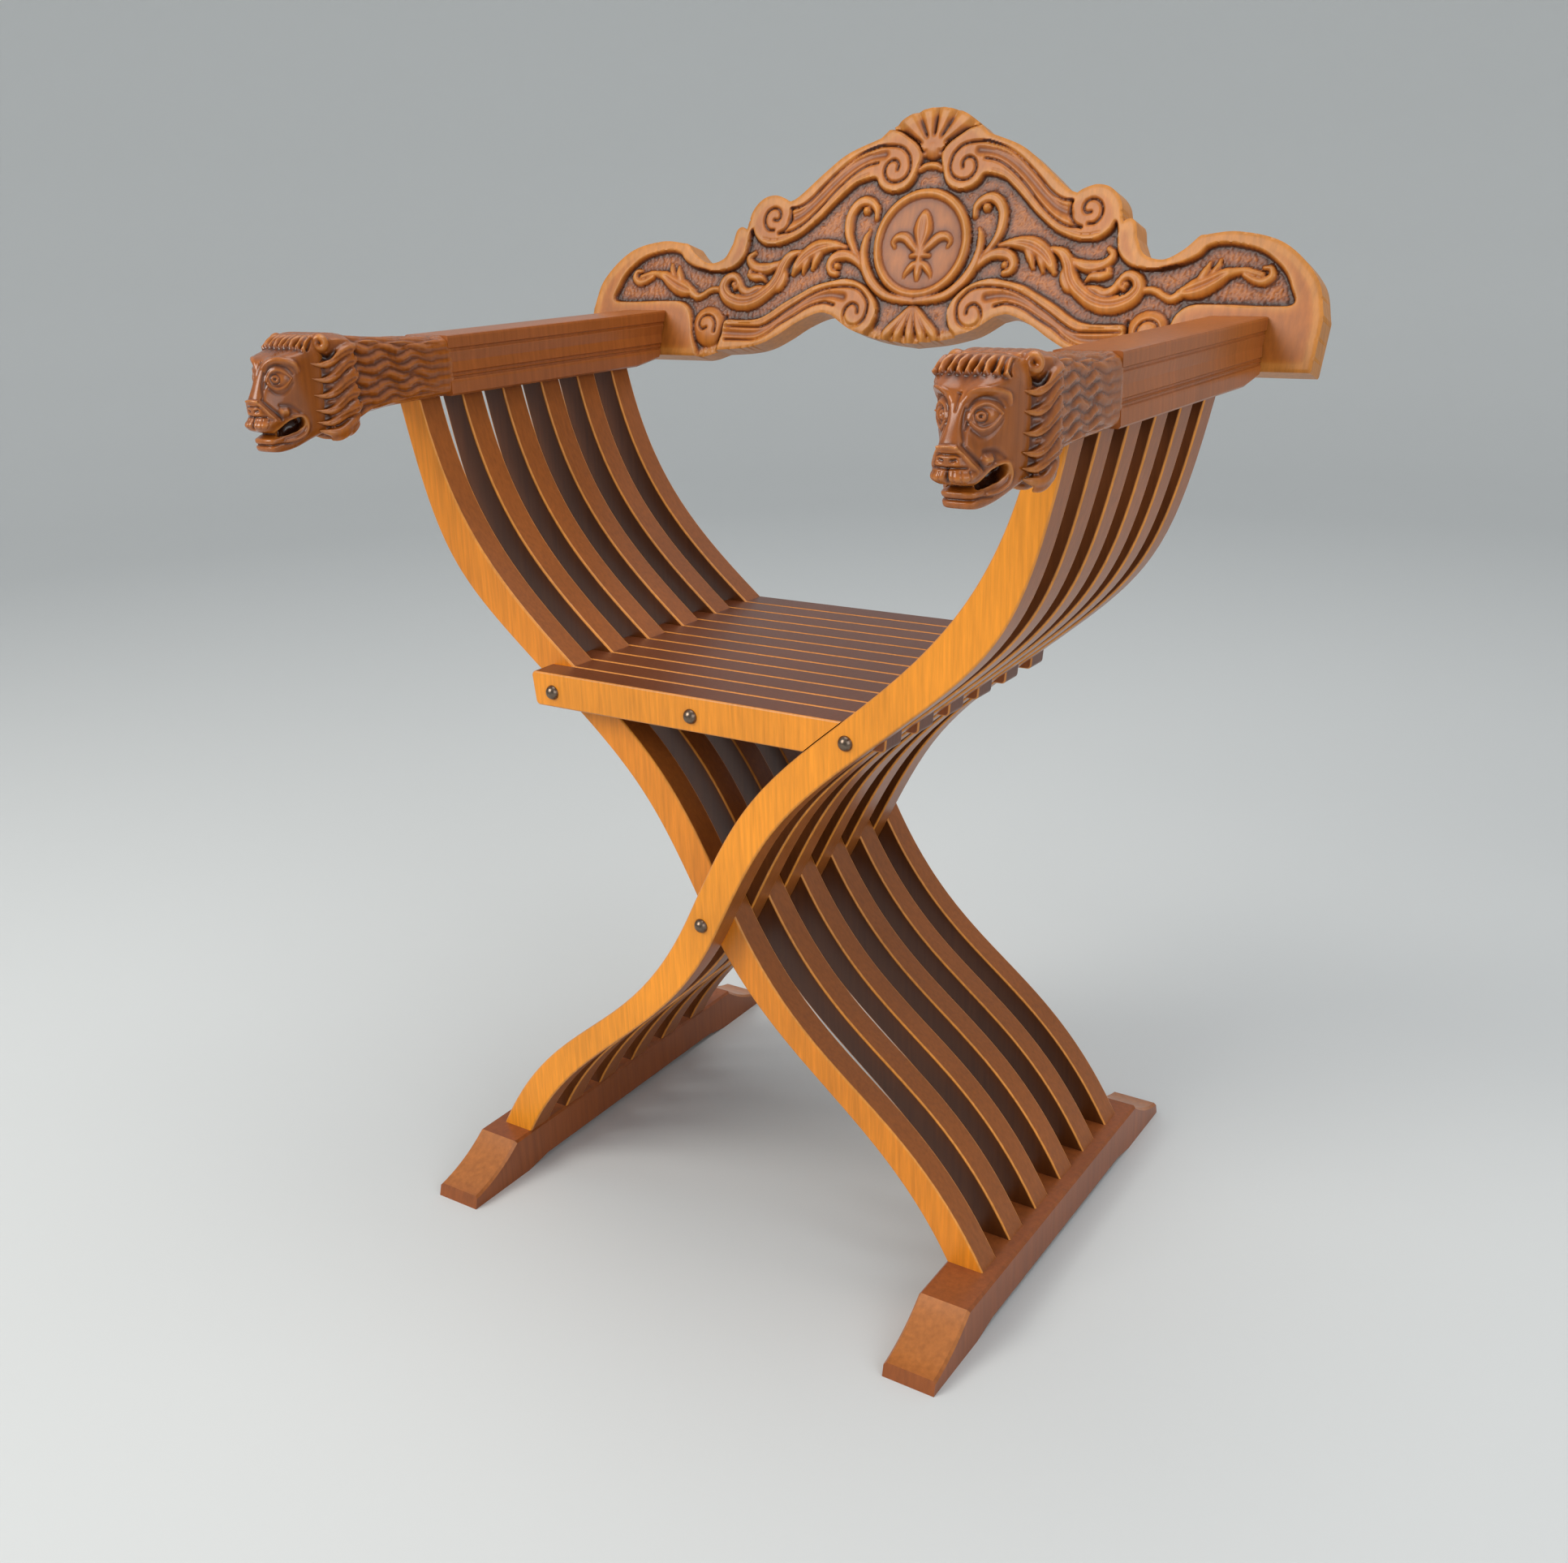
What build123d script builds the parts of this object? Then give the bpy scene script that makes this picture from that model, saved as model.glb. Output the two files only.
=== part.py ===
"""Savonarola chair: a folding armchair of two crossed frames of S-shaped slats.

Millimetres, +Z up, the sitter faces -Y. The origin is on the floor, midway between the two
sled feet and midway from the lions' muzzles to the back of the crest rail. Slats lie in layers
from front to back: odd layers hold frame A (right arm to left sled), even layers hold frame B
(left arm to right sled).
"""

from build123d import *
from math import atan2, cos, degrees, radians, sin, tan
import os

os.makedirs("parts", exist_ok=True)

# ---- layers of slats
slats_per_frame = 6
slat_thickness = 23.4
layer_gap = 0.3
edge_round = 1.6

# ---- the crossing, the seat pins, the arms and the sleds
crossing_height = 280.0
seat_pin_height = 447.0
seat_pin_offset = 131.0
arm_underside = 660.0
arm_offset = 277.0
sled_offset = 219.0
sled_height = 36.0
foot_inset = 5.4

# ---- run of a slat: angle from vertical, and width, at foot, crossing, seat pin and arm
foot_angle = 28.0
crossing_angle = 27.0
seat_pin_angle = 51.0
arm_angle = 13.0
foot_width = 27.0
crossing_width = 27.0
seat_pin_width = 26.5
top_width = 22.5
left_edge_reach = (0.45, 0.45, 0.40)
right_edge_reach = (0.39, 0.45, 0.51)

# ---- tenons that hold the slats in arms and sleds
tenon_length = 18.0
tenon_shoulder = 3.5
tenon_clearance = 0.1
mortise_extra_depth = 1.0

# ---- seat slats
seat_slat_height = 27.0
seat_pin_above_bottom = 12.0
seat_end_overhang = 20.5
seat_end_slant = 3.0
seat_end_round = 4.0
butt_gap = 0.4

# ---- rods and their domed caps
rod_diameter = 7.0
rod_clearance = 0.05
rod_projection = 1.8
cap_diameter = 11.5
cap_height = 4.6
cap_gap = 0.2

# ---- sled feet
sled_width = 42.0
sled_half_length = 217.0
sled_flat_half_length = 161.5
nose_height = 11.0
nose_rake = 3.0
toe_sag = 3.0
pad_length = 68.0
pad_slope = 26.0
pad_relief = 4.5
sled_bevel = 2.0

# ---- arms
arm_width = 46.0
arm_height = 46.0
arm_round = 2.5
arm_groove_width = 3.0
arm_groove_depth = 1.5
arm_groove_drops = (11.0, 30.0)
arm_tail_rise = 5.0

# ---- lion heads, measured forward of the first slat and up from the arm's underside
muzzle_front = 136.0
jaw_bottom = 22.5
ear_radius = 6.6
ear_place = (77.3, 22.6, 52.6)
eye_radius = 5.5
eye_place = (113.5, 12.5, 28.0)
mane_start = -48.0
mane_round = 6.0
bar_swell = 3.5

# sections of the mane and of the ruff in front of it: forward, width, bottom and top
mane_sections = (
    (0, 46.8, 0, 49.5),
    (34, 48.0, -2.4, 54.0),
    (49, 49.0, -8.0, 57.0),
)
ruff_sections = (
    (49, 50.0, -9.0, 57.5),
    (54, 58.0, -11.5, 58.6),
    (64, 59.0, -15.4, 60.0),
    (74, 54.0, -16.4, 60.5),
    (82, 44.0, -11.0, 59.5),
    (87, 36.0, -6.0, 56.0),
)

# level sections of the head: height, then (forward, half width) from the nose round to the neck
head_sections = (
    (-jaw_bottom, ((116, 0), (116, 5.5), (114, 8.5), (108, 9.5),
        (101, 11.5), (94, 14), (85, 17), (68, 17))),
    (-20.5, ((122, 0), (121.8, 6.5), (119.7, 10.4), (113, 11.4),
        (105, 13.8), (98, 17), (89, 20.5), (68, 21.5))),
    (-11.2, ((122.3, 0), (122, 6.5), (119.7, 10.4), (113, 11.8),
        (105, 15.2), (98, 19.5), (89, 22), (68, 22.5))),
    (-9.3, ((113, 0), (113, 5), (112, 7.5), (108.5, 9.5),
        (102.5, 13.5), (97.8, 19.5), (89, 22.2), (68, 22.8))),
    (-7.8, ((130.3, 0), (131.4, 6), (127.8, 11.4), (119, 12.9),
        (109, 14.8), (98, 19.8), (89, 22.5), (68, 23))),
    (-3.5, ((133.2, 0), (134.8, 6.5), (129.3, 12.8), (119.3, 14),
        (110, 15.2), (99.8, 19.8), (89, 22.7), (68, 23.2))),
    (2.0, ((132.6, 0), (133.2, 6), (128.3, 11), (118.8, 13.3),
        (110, 15.7), (101, 20.2), (89, 23), (68, 23.5))),
    (9.5, ((muzzle_front, 0), (134.5, 5.8), (128.8, 8.8), (119, 11.5),
        (111, 16.3), (102, 20.6), (89, 23.2), (68, 23.8))),
    (13.5, ((134.2, 0), (133.4, 5.2), (127.8, 7), (119, 10),
        (111, 17.3), (102.8, 21), (89, 23.3), (68, 24))),
    (22.0, ((128.6, 0), (128, 4.1), (122.3, 5.5), (118.3, 9.3),
        (110, 18.7), (103, 21.4), (89, 23.3), (68, 24))),
    (31.0, ((123.2, 0), (122.8, 3.9), (119.2, 5.2), (116.3, 9.5),
        (108.5, 19), (102.3, 21.5), (89, 23.2), (68, 24))),
    (39.0, ((120.3, 0), (120.8, 4.5), (119.6, 8.5), (116.8, 13),
        (108, 20.2), (101, 22.3), (89, 23.2), (68, 24))),
    (43.0, ((113, 0), (113, 5), (112, 9), (109, 14),
        (103, 20), (98, 22), (89, 22.9), (68, 24))),
    (48.0, ((93, 0), (93, 5), (93, 9), (92.5, 14),
        (91, 18.5), (88.5, 21), (82, 22.7), (68, 23.6))),
    (59.0, ((87, 0), (87, 5), (87, 9), (86.2, 14),
        (85, 18.5), (83, 20.5), (78, 21.5), (68, 21.5))),
)

# what is cut away under the jaw, forward and up
under_jaw = ((106, -23.5), (98, -18.5), (89, -12.5), (78, -10.0), (60, -10.0), (60, -23.5))

# ---- crest rail: leans back, lies in a plane of its own
rail_lean = 16.8
rail_setback = 35.4
rail_drop = 7.7
rail_thickness = 24.0
rail_rise = 207.7
rail_overhang = 62.5
rail_gap = 0.3
ground_depth = 5.0
medallion_radius = 44.5
medallion_height = 95.0
medallion_rise = 3.5
dish_radius = 37.0
dish_depth = 2.5
petal_height = 2.0
eye_groove = 2.0
shell_ribs = 7
shell_groove_depth = 2.5
shell_rib_start = 9.0
shell_rib_length = 15.0
shell_rib_width = 2.0

# ---- sliding dovetail between crest rail and left arm
dovetail_neck = 18.0
dovetail_flare = 3.0
dovetail_depth = 10.0
dovetail_length = 32.0
dovetail_clearance = 0.2

# ---- sizes that follow from those above
layer_count = 2 * slats_per_frame
layer_pitch = slat_thickness + layer_gap
stack_half_depth = (layer_count * layer_pitch - layer_gap) / 2
slat_foot_offset = sled_offset - foot_inset
seat_bottom = seat_pin_height - seat_pin_above_bottom
seat_top = seat_bottom + seat_slat_height
arm_top = arm_underside + arm_height
tenon_thickness = slat_thickness - 2 * tenon_shoulder
foot_tenon_width = foot_width - 2 * tenon_shoulder
top_tenon_width = top_width - 2 * tenon_shoulder
rail_half_length = arm_offset + rail_overhang
rail_bottom = arm_underside + rail_drop
lean_sine = sin(radians(rail_lean))
lean_cosine = cos(radians(rail_lean))
reach_behind = rail_setback + rail_rise * lean_sine + rail_thickness * lean_cosine
stack_middle = (muzzle_front - reach_behind) / 2
stack_front = stack_middle - stack_half_depth
stack_back = stack_middle + stack_half_depth
rail_plane = Plane(
    origin=(0, stack_back + rail_setback, rail_bottom),
    x_dir=(1, 0, 0),
    z_dir=(0, -lean_cosine, lean_sine),
)


def layer_front(layer):
    """Y of the front face of a layer, counted from 1 at the front."""
    return stack_front + (layer - 1) * layer_pitch


def layer_plane(layer):
    """Sketch plane on the front face of a layer; a negative extrusion fills the layer."""
    return Plane.XZ.offset(-layer_front(layer))


def layer_middle(layer):
    return layer_front(layer) + slat_thickness / 2


def slat_edge(side):
    """Bezier curves up one long edge of a frame A slat: side is -1 for left, 1 for right."""
    stations = (
        (-slat_foot_offset, sled_height, foot_angle, foot_width),
        (0, crossing_height, crossing_angle, crossing_width),
        (seat_pin_offset, seat_pin_height, seat_pin_angle, seat_pin_width),
        (arm_offset, arm_underside, arm_angle, top_width),
    )
    points = []
    headings = []
    for x, z, angle, width in stations:
        heading = Vector(sin(radians(angle)), cos(radians(angle)))
        headings.append(heading)
        if z in (sled_height, arm_underside):
            points.append(Vector(x + side * width / 2 / heading.Y, z))
        else:
            points.append(Vector(x, z) + Vector(heading.Y, -heading.X) * (side * width / 2))
    curves = []
    for span, reach in enumerate(left_edge_reach if side < 0 else right_edge_reach):
        start = points[span]
        end = points[span + 1]
        handle = (end - start).length * reach
        near = start + headings[span] * handle
        far = end - headings[span + 1] * handle
        curves.append((start, near, far, end))
    return curves


with BuildSketch(Plane.XZ) as slat_profile:
    with BuildLine():
        left_curves = slat_edge(-1)
        right_curves = slat_edge(1)
        for curve in left_curves + right_curves:
            Bezier(*curve)
        Line(left_curves[0][0], right_curves[0][0])
        Line(left_curves[-1][-1], right_curves[-1][-1])
    make_face()

slat_outline = {
    "a": slat_profile.sketch_local,
    "b": mirror(slat_profile.sketch_local, about=Plane.YZ, mode=Mode.PRIVATE),
}
seat_pin = {"left": (-seat_pin_offset, seat_pin_height), "right": (seat_pin_offset, seat_pin_height)}
middle_pin = (0, seat_pin_height)
crossing_pin = (0, crossing_height)
hole_radius = rod_diameter / 2 + rod_clearance

# ---- slats of both frames: frame A pins the right seat set, frame B the left one
for frame, first_layer, hand, pin_side in (("a", 1, 1, "right"), ("b", 2, -1, "left")):
    for number in range(1, slats_per_frame + 1):
        layer = first_layer + 2 * (number - 1)
        with BuildPart() as slat:
            with BuildSketch(layer_plane(layer)):
                add(slat_outline[frame])
            extrude(amount=-slat_thickness)
            broad_faces = slat.faces().sort_by(Axis.Y)
            long_edges = broad_faces[0].edges() + broad_faces[-1].edges()
            fillet(long_edges.filter_by(GeomType.LINE, reverse=True), edge_round)
            with Locations((-hand * slat_foot_offset, layer_middle(layer), sled_height)):
                Box(foot_tenon_width, tenon_thickness, tenon_length,
                    align=(Align.CENTER, Align.CENTER, Align.MAX))
            with Locations((hand * arm_offset, layer_middle(layer), arm_underside)):
                Box(top_tenon_width, tenon_thickness, tenon_length,
                    align=(Align.CENTER, Align.CENTER, Align.MIN))
            with BuildSketch(layer_plane(layer)):
                with Locations(crossing_pin, seat_pin[pin_side]):
                    Circle(hole_radius)
            extrude(amount=-slat_thickness, mode=Mode.SUBTRACT)
        slat.part.label = f"slat_{frame}_{number}"
        export_step(slat.part, f"parts/slat_{frame}_{number}.step")

# ---- seat slats: pinned to one frame, butting on the edge of the other
tail_slope = tan(radians(seat_pin_angle))
tail_bottom = seat_pin_offset - seat_pin_above_bottom * tail_slope
tail_top = seat_pin_offset + (seat_top - seat_pin_height) * tail_slope
outer_end = seat_pin_offset + seat_end_overhang
butt_shift = butt_gap / cos(radians(seat_pin_angle))

for seat_side, first_layer, hand, butted_frame in (("left", 1, 1, "a"), ("right", 2, -1, "b")):
    for number in range(1, slats_per_frame + 1):
        layer = first_layer + 2 * (number - 1)
        with BuildPart() as seat_slat:
            with BuildSketch(layer_plane(layer)) as seat_outline:
                with BuildLine():
                    Polyline(
                        (-hand * outer_end, seat_top),
                        (-hand * (outer_end - seat_end_slant), seat_bottom),
                        (hand * tail_bottom, seat_bottom),
                        (hand * tail_top, seat_top),
                        close=True,
                    )
                make_face()
                outer_corners = seat_outline.vertices().sort_by(Axis.X, reverse=hand < 0)[:2]
                fillet(outer_corners, seat_end_round)
                add(slat_outline[butted_frame].moved(Location((-hand * butt_shift, 0, 0))),
                    mode=Mode.SUBTRACT)
                with Locations(seat_pin[seat_side], middle_pin):
                    Circle(hole_radius, mode=Mode.SUBTRACT)
            extrude(amount=-slat_thickness)
            broad_faces = seat_slat.faces().sort_by(Axis.Y)
            long_edges = broad_faces[0].edges() + broad_faces[-1].edges()
            fillet(long_edges.filter_by(Axis.X), edge_round)
        seat_slat.part.label = f"seat_{seat_side}_{number}"
        export_step(seat_slat.part, f"parts/seat_{seat_side}_{number}.step")

# ---- steel rods that run through every layer
rod_length = 2 * (stack_half_depth + rod_projection)
for rod_name, place in (
    ("crossing_rod", crossing_pin),
    ("left_seat_rod", seat_pin["left"]),
    ("right_seat_rod", seat_pin["right"]),
):
    with BuildPart() as rod:
        with BuildSketch(Plane.XZ.offset(rod_projection - stack_front)):
            with Locations(place):
                Circle(rod_diameter / 2)
        extrude(amount=-rod_length)
    rod.part.label = rod_name
    export_step(rod.part, f"parts/{rod_name}.step")

# ---- middle rod, one length in each seat slat, so that the two halves of the seat can part
for seat_side, first_layer in (("left", 1), ("right", 2)):
    with BuildPart() as middle_rod:
        for number in range(1, slats_per_frame + 1):
            layer = first_layer + 2 * (number - 1)
            front = layer_front(layer) - (rod_projection if layer == 1 else 0)
            back = layer_front(layer) + slat_thickness
            back += rod_projection if layer == layer_count else 0
            with BuildSketch(Plane.XZ.offset(-front)):
                with Locations(middle_pin):
                    Circle(rod_diameter / 2)
            extrude(amount=front - back)
    middle_rod.part.label = f"middle_rod_{seat_side}"
    export_step(middle_rod.part, f"parts/middle_rod_{seat_side}.step")

# ---- domed caps on the rod ends
dome_radius = (cap_diameter ** 2 / 4 + cap_height ** 2) / (2 * cap_height)
with BuildPart() as cap:
    with Locations((0, dome_radius - cap_height, 0)):
        Sphere(dome_radius)
    split(bisect_by=Plane.XZ, keep=Keep.TOP)
    with BuildSketch(Plane.XZ):
        Circle(hole_radius)
    extrude(amount=rod_projection + rod_clearance, mode=Mode.SUBTRACT)

front_caps = {
    "crossing_rod_caps": [crossing_pin],
    "left_seat_rod_caps": [seat_pin["left"]],
    "right_seat_rod_caps": [seat_pin["right"]],
    "middle_rod_cap_front": [middle_pin],
}
back_caps = dict(front_caps)
back_caps["middle_rod_cap_back"] = back_caps.pop("middle_rod_cap_front")
for cap_name in sorted(set(front_caps) | set(back_caps)):
    with BuildPart() as cap_set:
        for x, z in front_caps.get(cap_name, []):
            add(cap.part.moved(Location((x, stack_front - cap_gap, z))))
        for x, z in back_caps.get(cap_name, []):
            add(cap.part.moved(Location((x, stack_back + cap_gap, z), (0, 0, 180))))
    cap_set.part.label = cap_name
    export_step(cap_set.part, f"parts/{cap_name}.step")

# ---- sled feet: a flat rail with a hollowed toe at each end and a relieved underside
toe_middle = (sled_half_length - nose_rake + sled_flat_half_length) / 2
toe_chord_middle = (nose_height + sled_height) / 2
for sled_side, hand, first_layer in (("left", -1, 1), ("right", 1, 2)):
    sled_side_face = Plane((hand * sled_offset - sled_width / 2, stack_middle, 0),
                           x_dir=(0, 1, 0), z_dir=(1, 0, 0))
    with BuildPart() as sled:
        with BuildSketch(sled_side_face):
            with BuildLine():
                top = Line((0, sled_height), (sled_flat_half_length, sled_height))
                ThreePointArc(
                    top @ 1,
                    (toe_middle - toe_sag / 2, toe_chord_middle - toe_sag),
                    (sled_half_length - nose_rake, nose_height),
                )
                Polyline(
                    (sled_half_length - nose_rake, nose_height),
                    (sled_half_length, 0),
                    (sled_half_length - pad_length, 0),
                    (sled_half_length - pad_length - pad_slope, pad_relief),
                    (0, pad_relief),
                )
                mirror(about=Plane.YZ)
            make_face()
        extrude(amount=sled_width)
        side_faces = sled.faces().sort_by(Axis.X)
        side_edges = side_faces[0].edges() + side_faces[-1].edges()
        chamfer(side_edges.filter_by(lambda edge: edge.center().Z > nose_height), sled_bevel)
        for number in range(slats_per_frame):
            tenon_middle = (hand * slat_foot_offset, layer_middle(first_layer + 2 * number), sled_height)
            with Locations(tenon_middle):
                Box(foot_tenon_width + 2 * tenon_clearance, tenon_thickness + 2 * tenon_clearance,
                    tenon_length + mortise_extra_depth,
                    align=(Align.CENTER, Align.CENTER, Align.MAX), mode=Mode.SUBTRACT)
    sled.part.label = f"sled_{sled_side}"
    export_step(sled.part, f"parts/sled_{sled_side}.step")


def across(forward):
    """Sketch plane across an arm, its normal towards the front, so far ahead of the slats."""
    return Plane.XZ.offset(forward - stack_front)


# ---- a lion's head at the middle of the chair, to be moved onto each arm
with BuildPart() as lion_head:
    for lower_and_upper in zip(head_sections, head_sections[1:]):
        for height, half_outline in lower_and_upper:
            around = [(half, stack_front - forward) for forward, half in half_outline]
            around += [(-half, y) for half, y in reversed(around[1:])]
            with BuildSketch(Plane.XY.offset(arm_underside + height)):
                Polygon(*around, align=None)
        loft(ruled=True)
    with BuildSketch(Plane.YZ.offset(-arm_width / 2)):
        Polygon(*((stack_front - forward, arm_underside + up) for forward, up in under_jaw), align=None)
    extrude(amount=arm_width, mode=Mode.SUBTRACT)
    for cheek in (-1, 1):
        for radius, (forward, spread, up) in ((ear_radius, ear_place), (eye_radius, eye_place)):
            with Locations((cheek * spread, stack_front - forward, arm_underside + up)):
                Sphere(radius)

# ---- arms: a grooved bar with a lion's head and mane carved at the front
arm_back = rail_plane.offset(rail_gap)
arm_middle_height = arm_underside + arm_height / 2
for arm_side, hand, first_layer in (("left", -1, 2), ("right", 1, 1)):
    middle = hand * arm_offset
    with BuildPart() as arm:
        # the bar, left long at the back for the crest rail's lean
        with BuildSketch(across(0)):
            with Locations((middle, arm_middle_height)):
                RectangleRounded(arm_width, arm_height, arm_round)
            for drop in arm_groove_drops:
                with Locations((middle - arm_width / 2, arm_top - drop),
                               (middle + arm_width / 2, arm_top - drop)):
                    Rectangle(2 * arm_groove_depth, arm_groove_width, mode=Mode.SUBTRACT)
        extrude(amount=-2 * (stack_half_depth + rail_setback))
        split(bisect_by=arm_back, keep=Keep.TOP)
        # the underside rises behind the last slat
        with BuildSketch(Plane.YZ.offset(middle - arm_width / 2)):
            Polygon(
                (stack_back + edge_round, arm_underside),
                (stack_back + 2 * rail_setback, arm_underside),
                (stack_back + 2 * rail_setback, arm_underside + 2 * arm_tail_rise),
                align=None,
            )
        extrude(amount=arm_width, mode=Mode.SUBTRACT)
        # the mane swells out of the bar, and in front of it stands the ruff
        with BuildSketch(across(mane_start)):
            with Locations((middle, arm_middle_height)):
                RectangleRounded(arm_width, arm_height, arm_round)
        with BuildSketch(across(0)):
            with Locations((middle, arm_middle_height + bar_swell / 2)):
                RectangleRounded(arm_width + edge_round / 2, arm_height + bar_swell, arm_round)
        loft(ruled=True)
        for sections in (mane_sections, ruff_sections):
            for forward, width, low, high in sections:
                with BuildSketch(across(forward)):
                    with Locations((middle, arm_underside + (low + high) / 2)):
                        RectangleRounded(width, high - low, mane_round)
            loft(ruled=True)
        add(lion_head.part.moved(Location((middle, 0, 0))))
        # mortises for the slats of this frame
        for number in range(slats_per_frame):
            with Locations((middle, layer_middle(first_layer + 2 * number), arm_underside)):
                Box(top_tenon_width + 2 * tenon_clearance, tenon_thickness + 2 * tenon_clearance,
                    tenon_length + mortise_extra_depth,
                    align=(Align.CENTER, Align.CENTER, Align.MIN), mode=Mode.SUBTRACT)
        # the left arm ends in a dovetail on which the crest rail slides down
        if arm_side == "left":
            with BuildSketch(Plane(rail_plane.origin, x_dir=(1, 0, 0), z_dir=rail_plane.y_dir)):
                with Locations((middle, 0)):
                    Polygon(
                        (-dovetail_neck / 2, -2 * rail_gap),
                        (dovetail_neck / 2, -2 * rail_gap),
                        (dovetail_neck / 2 + dovetail_flare, dovetail_depth),
                        (-dovetail_neck / 2 - dovetail_flare, dovetail_depth),
                        align=None,
                    )
            extrude(amount=dovetail_length)
    arm.part.label = f"arm_{arm_side}"
    export_step(arm.part, f"parts/arm_{arm_side}.step")


def on_rail(points):
    """Points of the carving, given as shares of the rail's half length and of its rise."""
    return [(x * rail_half_length, height * rail_rise) for x, height in points]


# ---- crest rail: outline from the bottom middle round the right end to the top middle
lower_volute = on_rail([(0, 0.074), (0.077, 0.088), (0.132, 0.107), (0.175, 0.130), (0.228, 0.182)])
lower_scroll = on_rail([(0.228, 0.182), (0.265, 0.190), (0.324, 0.152), (0.377, 0.100), (0.430, 0.058),
                        (0.486, 0.038), (0.565, 0.028)])
lug_corner = on_rail([(0.565, 0.028), (0.60, 0.008), (0.625, 0)])
lug = on_rail([(0.625, 0), (0.991, 0), (1, 0.193)])
shoulder = on_rail([(1, 0.193), (0.974, 0.327), (0.893, 0.448), (0.789, 0.491), (0.703, 0.480)])
cove = on_rail([(0.703, 0.480), (0.668, 0.428), (0.625, 0.395), (0.579, 0.414), (0.556, 0.475)])
cusp = on_rail([(0.556, 0.475), (0.548, 0.530), (0.533, 0.546), (0.517, 0.535)])
upper_volute = on_rail([(0.517, 0.535), (0.505, 0.611), (0.477, 0.660), (0.442, 0.674), (0.410, 0.660),
                        (0.395, 0.645)])
upper_scroll = on_rail([(0.395, 0.645), (0.377, 0.656), (0.353, 0.684), (0.295, 0.763), (0.236, 0.831),
                        (0.147, 0.886)])
shell_rim = on_rail([(0.147, 0.886), (0.112, 0.934), (0.064, 0.978), (0, 1)])

# the sunk ground between the scrolls, from the bottom middle to the top middle
ground_bottom = on_rail([(0, 0.085), (0.072, 0.092), (0.112, 0.17), (0.103, 0.245), (0.171, 0.31)])
ground_lower = on_rail([(0.171, 0.31), (0.238, 0.321), (0.306, 0.274), (0.373, 0.2), (0.443, 0.155)])
ground_end = on_rail([(0.55, 0.155), (0.6, 0.24), (0.66, 0.23), (0.934, 0.23), (0.937, 0.26)])
ground_lobe = on_rail([(0.937, 0.26), (0.905, 0.366), (0.849, 0.43), (0.781, 0.455), (0.731, 0.443)])
ground_cove = on_rail([(0.731, 0.443), (0.68, 0.39), (0.625, 0.361), (0.56, 0.378), (0.512, 0.448)])
ground_upper = on_rail([(0.505, 0.5), (0.471, 0.488), (0.418, 0.464), (0.358, 0.489), (0.294, 0.565)])
ground_top = on_rail([(0.294, 0.565), (0.24, 0.656), (0.154, 0.735), (0.1, 0.67), (0.05, 0.69)])
ground_crown = on_rail([(0.05, 0.69), (0.035, 0.76), (0, 0.79)])
volute_eyes = on_rail([(0.44, 0.576), (0.108, 0.757), (0.164, 0.191), (0.615, 0.144)])
eye_ring = (6.0, 8.5)
shell_foot = 0.86 * rail_rise
shell_spread = 24.0
petals = ((0, 0.5, 15.0, 5.0, 90.0), (-0.036, 0.455, 12.0, 4.0, 130.0), (0.036, 0.455, 12.0, 4.0, 50.0))

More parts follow.
